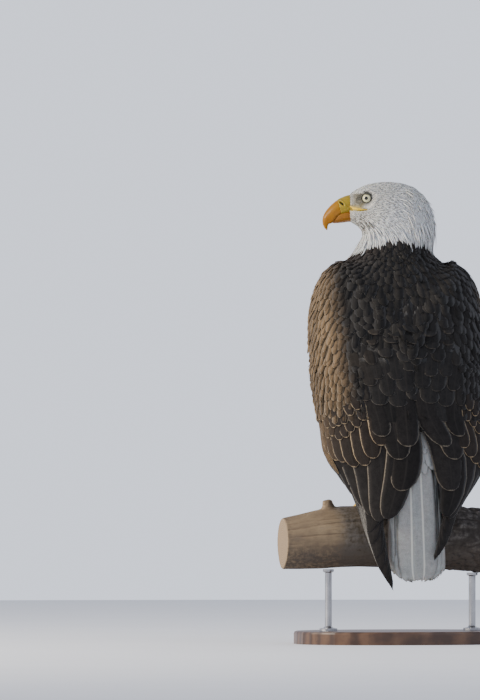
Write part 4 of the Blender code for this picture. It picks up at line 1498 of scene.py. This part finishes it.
tail = {
    "tip": 0.1050,
    "shorter": (0.0002, 0.0012, 0.0030, 0.0060, 0.0100, 0.0155),  # from the middle pair outwards
    "rootHeight": 0.372,
    "halfWidth": 0.0255,
    "ragged": 0.0085,
    # painted shade: the white tail and its coverts are given a grey far darker than the white head, as if in
    # shade
    "tint": (0.33, 0.325, 0.31),
    "edgeTint": (0.33, 0.30, 0.255),
    "covertTint": (0.36, 0.355, 0.34),
    "covertTop": 0.332,
    "edge": 0.0012,
    "patch": 0.08,
    "covertPatch": 0.02,
}


def growTail():
    back, front = tailSheet(True), tailSheet(False)
    source = np.random.default_rng(51)
    quills = []
    for i, shorter in enumerate(tail["shorter"]):
        for sign in (1, -1):
            # the middle pair is set by its shafts, the others by their outer edges
            out, rootOut, lean = 0.320 + 0.035 * i, 0.24 + 0.040 * i, -sign
            if i == 0:
                out, rootOut, lean = 0.105, 0.07, 0.0
            tip = tail["tip"] + shorter + (0.0012 if sign < 0 else 0)
            quills.append((0.5 - sign * rootOut, tail["rootHeight"], 0.5 - sign * out, tip, tail["halfWidth"],
                           -0.0012 - 0.0008 * i, -0.0005 - 0.00045 * i, lean))
    quills = np.array(quills)
    template = templates["tail"]
    made, roots = layQuills(back, template, quills, source, 0.0004, tail["ragged"])
    count = len(quills)
    # painted shade: a grey for the white tail feathers
    tint = np.array(tail["tint"]) * (1 + source.normal(0, 0.05, (count, 1)))
    fringe = fringeRows(tail["edgeTint"], np.full(count, 0.6))
    length = quills[:, 1] - quills[:, 3]
    batch = featherBatch(template, made, roots, tint, fringe, tail["edge"], length, quills[:, 4])
    finishCoat("tail_feathers", [batch], tail["patch"], ("tail",), tailFeather)

    batches = []
    template = templates["covert"]
    for sheet, low, deep in ((back, 0.292, 0.0), (front, 0.225, -0.001)):
        rows = []
        for i, tip in enumerate(np.arange(low, tail["covertTop"], 0.0125)):
            for share in np.arange(0.06 + (0.06 if i % 2 else 0), 0.99, 0.12):
                edge = abs(share - 0.5) * 2
                rows.append((0.5 + (share - 0.5) * 0.8, tip + 0.052 + 0.016 * edge,
                             share + source.normal(0, 0.012),
                             tip + 0.018 * edge ** 2 + source.normal(0, 0.003),
                             0.0085, -0.002 + deep, 0.0004 + 0.0002 * i + deep, 0.0))
        rows = np.array(rows)
        made, roots = layQuills(sheet, template, rows, source, 0.0003)
        # painted shade: a grey for the white tail coverts
        tint = np.array(tail["covertTint"]) * (1 + source.normal(0, 0.03, (len(rows), 1)))
        fringe = fringeRows(tail["covertTint"], np.full(len(rows), 0.3))
        length = rows[:, 1] - rows[:, 3]
        batches.append(featherBatch(template, made, roots, tint, fringe, tail["edge"], length, rows[:, 4]))
    finishCoat("tail_coverts", batches, tail["covertPatch"], (), whiteFeather)


growTail()


# eyes

eyeLook = {
    "pupilEdge": 15.5 / 90,
    "irisEdge": 38.5 / 90,
    "bulge": 0.035,
}


def makeEye(name, sign):
    centre, look = eyeFrame(sign)
    bpy.ops.object.select_all(action="DESELECT")
    turn = Vector(look).to_track_quat("Z", "Y").to_euler()
    bpy.ops.mesh.primitive_uv_sphere_add(segments=56, ring_count=40, radius=bird["eyeRadius"],
                                         location=centre, rotation=turn)
    eye = bpy.context.object
    bpy.ops.object.transform_apply(location=True, rotation=True, scale=True)
    points = pointsOf(eye)
    offset = points - centre
    angle = np.degrees(np.arccos(np.clip(unit(offset) @ look, -1, 1)))
    cornea = 1 + eyeLook["bulge"] * fade(0, 42, angle)
    setPoints(eye, centre + offset * cornea[:, None])
    setGrey(eye, "ring", angle / 90)
    bpy.ops.object.shade_smooth()
    eye.data.uv_layers[0].name = "eyeMap"
    return finishPiece(eye, "eyeball_" + name, ("eye_" + name,), eyeFinish)


def paintEye():
    paint = Finish("eagle eye")
    ring = paint.colour("ring").outputs["Fac"]
    around = paint.noise(paint.uv("eyeMap"), 9.0, 5, 0.6, (9, 1.2, 1))
    iris = paint.ramp(around, ((0.30, (0.52, 0.48, 0.25)), (0.5, (0.68, 0.65, 0.40)),
                               (0.72, (0.78, 0.76, 0.54))))
    limbus = paint.range(ring, eyeLook["irisEdge"] - 0.035, eyeLook["irisEdge"] + 0.01)
    colour = paint.blend(limbus, iris, (0.03, 0.028, 0.02, 1))
    inner = paint.range(ring, eyeLook["pupilEdge"] + 0.06, eyeLook["pupilEdge"])
    colour = paint.blend(paint.times(inner, 0.35), colour, (0.45, 0.36, 0.15, 1))
    pupil = paint.range(ring, eyeLook["pupilEdge"] + 0.008, eyeLook["pupilEdge"] - 0.008)
    colour = paint.blend(pupil, colour, (0.004, 0.004, 0.004, 1))
    return paint.set(colour=colour, rough=0.15, coat=0.55, coatRough=0.03, specular=0.25)


eyeFinish = paintEye()
makeEye("left", 1)
makeEye("right", -1)


# bill and cere

nostril = {
    "middle": (0.0740, 0.0030),
    "lean": (-0.737, -0.675),
    "halfLength": 0.0058,
    "halfWidth": 0.0021,
    "depth": 0.0030,
}


def nostrilShare(points):
    ahead, side, up = headCoordinates(points)
    onward, above = ahead - nostril["middle"][0], up - nostril["middle"][1]
    leanAhead, leanUp = nostril["lean"]
    along = onward * leanAhead + above * leanUp
    off = -onward * leanUp + above * leanAhead
    return np.sqrt((along / nostril["halfLength"]) ** 2 + (off / nostril["halfWidth"]) ** 2)


def makeHorn(label, nodes, voxel, rounds, swell=0.0):
    piece = gather(label, nodes)
    modify(piece, "REMESH", mode="VOXEL", voxel_size=voxel, adaptivity=0.0)
    modify(piece, "SMOOTH", factor=0.5, iterations=rounds)
    setPoints(piece, pointsOf(piece) + normalsOf(piece) * swell)
    shadeSoft(piece)
    return piece


def tuckBack(piece):
    # the root of the bill runs on a little way under the skin of the face
    points = pointsOf(piece)
    ahead, side, up = headCoordinates(points)
    setPoints(piece, points - forward * (0.0035 * fade(0.0615, 0.0640, ahead))[:, None])


def shadeAndDirtOnHorn(piece, least):
    # painted shade: browner and darker along the mouth and under the hook; the same mask sets where dark
    # flecks gather
    ahead, side, up = headCoordinates(pointsOf(piece))
    low = fade(-0.0135, -0.0050, up) * fade(0.082, 0.094, ahead)
    setGrey(piece, "shadeAndDirt", np.maximum(low, least))


def makeBill():
    upper = makeHorn("beak_upper", ("bill_upper",), 0.0007, 8, 0.0003)
    points, normals = pointsOf(upper), normalsOf(upper)
    ahead, side, up = headCoordinates(points)
    # faint growth lines round the horn
    lines = 0.00003 * np.sin(np.hypot(ahead - 0.058, up + 0.035) * 1700) * smoothStep(0.080, 0.092, ahead)
    setPoints(upper, points + normals * lines[:, None])
    shadeAndDirtOnHorn(upper, 0.0)
    finishPiece(upper, "beak_upper", ("bill_upper",), hornFinish)
    lower = makeHorn("beak_lower", ("bill_lower",), 0.0007, 8, 0.0003)
    tuckBack(lower)
    # painted shade over all of the lower bill
    shadeAndDirtOnHorn(lower, 0.45)
    finishPiece(lower, "beak_lower", ("bill_lower",), hornFinish)

    cere = makeHorn("cere_skin", ("cere",), 0.0006, 10, 0.0008)
    points, normals = pointsOf(cere), normalsOf(cere)
    ring = nostrilShare(points)
    hollow = fade(0.45, 1.05, ring)
    rim = smoothStep(0.9, 1.3, ring) * fade(1.5, 2.6, ring)
    onSide = np.abs(headCoordinates(points)[1]) > 0.004
    points += normals * (onSide * (rim * 0.0008 - hollow * nostril["depth"]))[:, None]
    setPoints(cere, points)
    tuckBack(cere)
    # painted shade: the nostril's hollow is marked for darkening
    setGrey(cere, "hollow", hollow * onSide)
    finishPiece(cere, "cere_skin", ("cere",), cereFinish)


def paintHorn():
    paint = Finish("bill horn")
    place = paint.place()
    cloud = paint.noise(place, 45.0, 4, 0.55)
    fine = paint.noise(place, 600.0, 3, 0.6, (1, 1, 0.5))
    colour = paint.ramp(cloud, ((0.30, (0.245, 0.090, 0.001)), (0.52, (0.295, 0.122, 0.001)),
                                (0.75, (0.33, 0.158, 0.002))))
    shadeAndDirt = paint.colour("shadeAndDirt").outputs["Fac"]
    # painted shade: browner and darker along the mouth, under the hook and on the lower bill, with dark
    # flecks following the same mask
    colour = paint.blend(paint.times(shadeAndDirt, 0.55), colour, (0.26, 0.105, 0.018, 1))
    dirtFlecksInShade = paint.times(paint.range(fine, 0.52, 0.72), paint.range(shadeAndDirt, 0.0, 1.0, 0.15, 0.75))
    colour = paint.blend(dirtFlecksInShade, colour, (0.15, 0.065, 0.018, 1))
    return paint.set(colour=colour, rough=0.44, specular=0.18, coat=0.05, coatRough=0.2,
                     normal=paint.bump(fine, 0.12, 0.0004))


def paintCere():
    paint = Finish("cere")
    place = paint.place()
    cloud = paint.noise(place, 90.0, 4, 0.55)
    fine = paint.noise(place, 900.0, 3, 0.6)
    colour = paint.ramp(cloud, ((0.3, (0.23, 0.148, 0.003)), (0.55, (0.30, 0.205, 0.004)),
                                (0.8, (0.345, 0.250, 0.011))))
    hollow = paint.colour("hollow").outputs["Fac"]
    # painted shade: the nostril's hollow and the mouth's slit are darkened nearly to black
    colour = paint.blend(paint.range(hollow, 0.35, 0.8), colour, (0.02, 0.012, 0.004, 1))
    return paint.set(colour=colour, rough=0.45, specular=0.4, subsurface=0.1, subsurfaceScale=0.003,
                     normal=paint.bump(fine, 0.25, 0.0005))


def makeGape():
    # two fleshy lips with the dark line of the mouth between them, a tube of painted shade, on each side
    shares = np.linspace(-0.06, 1.04, 24)
    ahead = gape["front"][0] + (gape["back"][0] - gape["front"][0]) * shares
    inside = np.clip(shares, 0, 1)
    mouth = gapeLine(inside) - 0.35 * gapeHalf(shares)
    taper = np.sqrt(np.clip((1.05 - shares) / 0.25, 0.02, 1))
    rolls = (  # offset, radius, share of darkness
        (0.0016 - 0.0008 * inside, (0.0021 - 0.0011 * inside) * taper, 0.0),
        (-0.0011 + 0.0003 * inside, (0.0013 - 0.0004 * inside) * taper, 0.0),
        # painted shade: a thin near-black tube for the shadow in the mouth's slit
        (0.0002 + 0 * inside, 0.0007 * taper, 1.0),
    )
    made = []
    for sign in (1, -1):
        for offset, radius, dark in rolls:
            bpy.ops.curve.primitive_nurbs_path_add()
            path = bpy.context.object
            path.data.splines.clear()
            spline = path.data.splines.new("POLY")
            spline.points.add(len(shares) - 1)
            for k in range(len(shares)):
                start = headPlace(min(ahead[k], 0.0600), 0.024 * sign, mouth[k] + offset[k])
                hit, normal, _, _ = skinTree.find_nearest(Vector(start))
                hit = hit + Vector(forward * max(ahead[k] - 0.0600, 0))
                place = hit + normal * (0.0004 - 0.35 * radius[k] - 0.0003 * dark)
                spline.points[k].co = (*place, 1)
                spline.points[k].radius = radius[k] / 0.001
            path.data.bevel_depth, path.data.bevel_resolution, path.data.use_fill_caps = 0.001, 3, True
            selectOnly(path)
            bpy.ops.object.convert(target="MESH")
            tube = bpy.context.object
            setColour(tube, "hollow", np.full((len(tube.data.vertices), 3), dark))
            made.append(tube)
    selectOnly(made[0])
    for tube in made:
        tube.select_set(True)
    bpy.ops.object.join()
    flesh = bpy.context.object
    bpy.ops.object.transform_apply(location=True, rotation=True, scale=True)
    bpy.ops.object.mode_set(mode="EDIT")
    bpy.ops.mesh.select_all(action="SELECT")
    bpy.ops.mesh.remove_doubles(threshold=0.00002)
    bpy.ops.mesh.normals_make_consistent(inside=False)
    bpy.ops.object.mode_set(mode="OBJECT")
    bpy.ops.object.shade_smooth()
    finishPiece(flesh, "gape_flesh", (), cereFinish)


hornFinish, cereFinish = paintHorn(), paintCere()
makeBill()
makeGape()
print("bill, cere and eyes done")


# feet: one scaly skin each, with black claws

feet = {
    "voxel": 0.0012,
    "scaleSize": 0.0030,
    "scaleHeight": 0.00042,
    "plateLength": 0.0052,
    "perchRadius": 0.062,
    "clawRoot": 0.0012,  # thicker by this at their roots
    "toes": ("inner", "middle", "outer", "hind"),
}


def scaleRelief(points, size, seed):
    # rounded scales: distance to the nearest of scattered seeds, on a jittered lattice
    cell = np.floor(points / size).astype(int)
    best, second = np.full(len(points), 9.0), np.full(len(points), 9.0)
    for i in (-1, 0, 1):
        for j in (-1, 0, 1):
            for k in (-1, 0, 1):
                near = cell + (i, j, k)
                mixed = (near[:, 0] * 73856093) ^ (near[:, 1] * 19349663) ^ (near[:, 2] * 83492791) ^ seed
                jitter = np.stack([((mixed * prime) % 9973) / 9973 for prime in (37, 101, 211)], axis=1)
                distance = np.linalg.norm(points / size - (near + 0.15 + 0.7 * jitter), axis=1)
                second = np.where(distance < best, best, np.minimum(second, distance))
                best = np.minimum(best, distance)
    return smoothStep(0.0, 0.38, second - best)


def makeFoot(side):
    nodes = ["tarsus_" + side] + ["toe_" + side + "_" + toe for toe in feet["toes"]]
    foot = makeHorn("foot", nodes, feet["voxel"], 5)
    points, normals = pointsOf(foot), normalsOf(foot)
    relief = scaleRelief(points, feet["scaleSize"], 5)
    # broad plates across the tops of the toes and the front of the leg
    middle = points - np.array((0, 0, bird["perchMiddle"]))
    around = np.arctan2(middle[:, 1], middle[:, 2]) * feet["perchRadius"]
    onToe = smoothStep(0.3, 0.7, (normals * unit(middle * (0, 1, 1))).sum(axis=1))
    onToe = onToe * fade(0.250, 0.262, points[:, 2])
    onLeg = smoothStep(0.252, 0.266, points[:, 2]) * smoothStep(0.1, 0.6, -normals[:, 1])
    plates = np.maximum(onToe, onLeg)
    run = np.where(onLeg > onToe, points[:, 2], around) / feet["plateLength"]
    bands = smoothStep(0.0, 0.35, np.abs(np.sin(run * math.pi)))
    relief = relief * (1 - plates) + bands * plates
    setPoints(foot, points + normals * ((relief - 0.6) * feet["scaleHeight"])[:, None])
    setGrey(foot, "scales", relief)
    finishPiece(foot, "foot_" + side, nodes, footFinish)
    nodes = ["claw_" + side + "_" + toe for toe in feet["toes"]]
    claws = makeHorn("claws", nodes, 0.0006, 5, 0.0002)
    # strong at the root, keen at the tip
    points, normals = pointsOf(claws), normalsOf(claws)
    for node in nodes:
        low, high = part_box(node)
        inside = ((points > np.array(low) - 0.0012) & (points < np.array(high) + 0.0012)).all(axis=1)
        root = smoothStep(low.z + 0.001, low.z + 0.014, points[:, 2])
        points += normals * (inside * root * feet["clawRoot"])[:, None]
    setPoints(claws, points)
    finishPiece(claws, "claws_" + side, nodes, clawFinish)


def paintFoot():
    paint = Finish("leg scales")
    place = paint.place()
    cloud = paint.noise(place, 70.0, 4)
    fine = paint.noise(place, 900.0, 3)
    colour = paint.ramp(cloud, ((0.3, (0.66, 0.37, 0.02)), (0.6, (0.80, 0.50, 0.04)),
                                (0.8, (0.84, 0.60, 0.10))))
    groove = paint.range(paint.colour("scales").outputs["Fac"], 0.55, 0.05, 0.0, 0.45)
    colour = paint.blend(groove, colour, (0.26, 0.13, 0.02, 1))
    return paint.set(colour=colour, rough=0.42, normal=paint.bump(fine, 0.3, 0.0004), specular=0.45)


def paintClaw():
    paint = Finish("claw horn")
    fine = paint.noise(paint.place(), 500.0, 4, 0.6, (1, 1, 0.4))
    colour = paint.ramp(fine, ((0.3, (0.010, 0.009, 0.009)), (0.7, (0.035, 0.030, 0.027))))
    return paint.set(colour=colour, rough=0.28, coat=0.3, coatRough=0.15,
                     normal=paint.bump(fine, 0.15, 0.0003))


footFinish, clawFinish = paintFoot(), paintClaw()
makeFoot("left")
makeFoot("right")
print("feet done")


# perch: a cut length of dead branch, bare wood at the bird's left, flaking bark at its right

perch = {
    "voxel": 0.0024,
    "barkEdge": 0.015,  # bark covers the branch from here towards -X
    "barkDepth": 0.0042,
    "grainDepth": 0.0011,
    "halfLength": 0.205,
    "sag": 0.15,
}


def perchAxis(points):
    # angle round the branch and distance from its middle line
    y, z = points[:, 1], points[:, 2] - bird["perchMiddle"] + perch["sag"] * points[:, 0] ** 2
    return np.arctan2(y, z), np.hypot(y, z)


def makePerch():
    branch = gather("branch", ("perch_branch",))
    modify(branch, "REMESH", mode="VOXEL", voxel_size=perch["voxel"], adaptivity=0.0)
    modify(branch, "SMOOTH", factor=0.5, iterations=3)
    points, normals = pointsOf(branch), normalsOf(branch)
    angle, out = perchAxis(points)
    x = points[:, 0]
    onSide = np.abs(normals[:, 0]) < 0.7
    ragged = perch["barkEdge"] + 0.020 * np.sin(angle * 2 + 1) + 0.012 * np.sin(angle * 5 + 2)
    ragged = ragged + 0.006 * np.sin(angle * 13)
    bark = fade(-0.002, 0.002, x - ragged)
    # bark: plates split by long cracks, some flaked away
    stretched = np.stack((x * 0.26, np.sin(angle) * 0.055, np.cos(angle) * 0.055), axis=1)
    warp = np.stack([noise3(points, 55, s) + 0.4 * noise3(points, 160, s + 9) for s in (1, 2, 3)], axis=1)
    plates = scaleRelief(stretched + 0.0042 * warp, 0.0165, 77)
    chips = scaleRelief(stretched * (1.6, 1, 1) + 0.0030 * warp, 0.0062, 31)
    flake = smoothStep(0.0, 0.3, noise3(points, 34, 12) + 0.35 * noise3(points, 120, 6))
    plates = plates * (0.65 + 0.35 * chips)
    rough = noise3(points, 420, 4) * 0.5 + noise3(points, 190, 8) * 0.5
    barkHeight = plates * 0.8 - 0.55 * flake + 0.30 * rough
    grain = noise3(np.stack((x * 18, np.sin(angle) * 40, np.cos(angle) * 40), axis=1), 1.6, 15)
    fine = noise3(np.stack((x * 60, np.sin(angle) * 120, np.cos(angle) * 120), axis=1), 1.4, 16)
    woodHeight = 0.7 * grain + 0.3 * fine
    height = bark * barkHeight * perch["barkDepth"] + (1 - bark) * (woodHeight * perch["grainDepth"] - 0.0008)
    height -= bark * 0.0016
    keep = onSide * smoothStep(0.0, 0.006, perch["halfLength"] - np.abs(x))
    setPoints(branch, points + normals * (height * keep)[:, None])
    grey = fade(0.100, 0.135, x + 0.012 * noise3(points, 45, 21)) * (1 - bark)
    setGrey(branch, "weathered", grey * onSide)
    colours = np.stack((bark * onSide, plates * (1 - 0.5 * flake), np.clip(grain * 0.5 + 0.5, 0, 1)), axis=1)
    setColour(branch, "wood", np.clip(colours, 0, 1))
    rings = np.where(onSide, 0.0, 1.0)
    setColour(branch, "cutFace", np.stack((rings, np.clip(out / 0.06, 0, 1), rings), axis=1))
    shadeSoft(branch)
    finishPiece(branch, "branch", ("perch_branch",), paintBranch())


def paintBranch():
    paint = Finish("dead branch")
    place = paint.place()
    parts = paint.add("ShaderNodeSeparateColor", {0: paint.colour("wood").outputs["Color"]})
    bark, plate, grain = parts.outputs[0], parts.outputs[1], parts.outputs[2]
    cloud = paint.noise(place, 16.0, 6, 0.6, (0.5, 1, 1))
    fine = paint.noise(place, 260.0, 5, 0.65, (0.25, 1, 1))
    spots = paint.noise(place, 130.0, 5, 0.7)
    wood = paint.ramp(cloud, ((0.30, (0.104, 0.083, 0.068)), (0.46, (0.208, 0.151, 0.094)),
                              (0.62, (0.286, 0.213, 0.130)), (0.8, (0.239, 0.218, 0.192))))
    wood = paint.blend(paint.range(fine, 0.45, 0.75, 0.0, 0.55), wood, (0.16, 0.11, 0.075, 1))
    wood = paint.blend(paint.range(grain, 0.30, 0.05, 0.0, 0.6), wood, (0.10, 0.07, 0.05, 1))
    weathered = paint.ramp(spots, ((0.34, (0.026, 0.022, 0.018)), (0.47, (0.089, 0.080, 0.071)),
                                   (0.62, (0.149, 0.137, 0.125))))
    wood = paint.blend(paint.times(paint.colour("weathered").outputs["Fac"], 0.8), wood, weathered)
    shell = paint.ramp(spots, ((0.32, (0.019, 0.016, 0.014)), (0.50, (0.065, 0.056, 0.050)),
                               (0.66, (0.130, 0.119, 0.108)), (0.8, (0.181, 0.173, 0.160))))
    shell = paint.blend(paint.range(plate, 0.35, 0.02, 0.0, 0.75), shell, (0.030, 0.024, 0.020, 1))
    colour = paint.blend(bark, wood, shell)
    # painted shade: the underside is darker, and mottled
    height = paint.add("ShaderNodeSeparateXYZ", {0: place}).outputs[2]
    under = paint.times(paint.range(height, 0.188, 0.140), paint.range(spots, 0.36, 0.58, 0.15, 0.95))
    colour = paint.blend(under, colour, (0.075, 0.060, 0.048, 1))
    ends = paint.add("ShaderNodeSeparateColor", {0: paint.colour("cutFace").outputs["Color"]})
    sway = paint.noise(place, 38.0, 3, 0.5)
    rings = paint.math("SINE", paint.plus(paint.times(ends.outputs[1], 95.0), paint.times(sway, 5.0)))
    cut = paint.blend(paint.range(rings, -0.4, 1.0, 0.0, 0.8), (0.34, 0.25, 0.155, 1),
                      (0.24, 0.165, 0.098, 1))
    cut = paint.blend(paint.range(fine, 0.45, 0.7, 0.0, 0.5), cut, (0.25, 0.18, 0.12, 1))
    colour = paint.blend(ends.outputs[0], colour, cut)
    relief = paint.plus(fine, paint.times(spots, 0.8))
    return paint.set(colour=colour, rough=0.78, normal=paint.bump(relief, 0.55, 0.0012), specular=0.25)


makePerch()


# stand: oiled wooden base and two steel rods

def paintBase():
    paint = Finish("base wood")
    place = paint.place()
    sway = paint.noise(place, 5.0, 3, 0.5, (0.3, 1, 1))
    inputs = {"Vector": place, "Scale": 16.0, "Distortion": 5.0, "Detail": 4.0, "Detail Scale": 1.4}
    lines = paint.add("ShaderNodeTexWave", inputs, wave_type="BANDS", bands_direction="Y").outputs["Fac"]
    fine = paint.noise(place, 240.0, 4, 0.6, (0.06, 1, 1))
    mixed = paint.plus(paint.times(lines, 0.5), paint.times(sway, 0.5))
    colour = paint.ramp(mixed, ((0.25, (0.055, 0.026, 0.014)), (0.5, (0.095, 0.046, 0.024)),
                                (0.8, (0.15, 0.078, 0.040))))
    colour = paint.blend(paint.range(fine, 0.5, 0.75, 0.0, 0.4), colour, (0.035, 0.017, 0.010, 1))
    return paint.set(colour=colour, rough=0.38, coat=0.2, coatRough=0.25,
                     normal=paint.bump(fine, 0.12, 0.0004))


def paintSteel():
    paint = Finish("brushed steel")
    brushed = paint.noise(paint.place(), 900.0, 3, 0.6, (1, 1, 0.02))
    cloud = paint.noise(paint.place(), 60.0, 3)
    colour = paint.ramp(cloud, ((0.3, (0.42, 0.42, 0.43)), (0.7, (0.55, 0.55, 0.56))))
    return paint.set(colour=colour, metal=1.0, rough=paint.range(brushed, 0.3, 0.7, 0.24, 0.40, False),
                     normal=paint.bump(brushed, 0.06, 0.0003))


def dressStand():
    steel = paintSteel()
    for name, finish in (("stand_base", paintBase()), ("stand_rod_left", steel), ("stand_rod_right", steel)):
        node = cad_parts[name]
        node.data.materials.clear()
        node.data.materials.append(finish)
    print("perch and stand done")


dressStand()
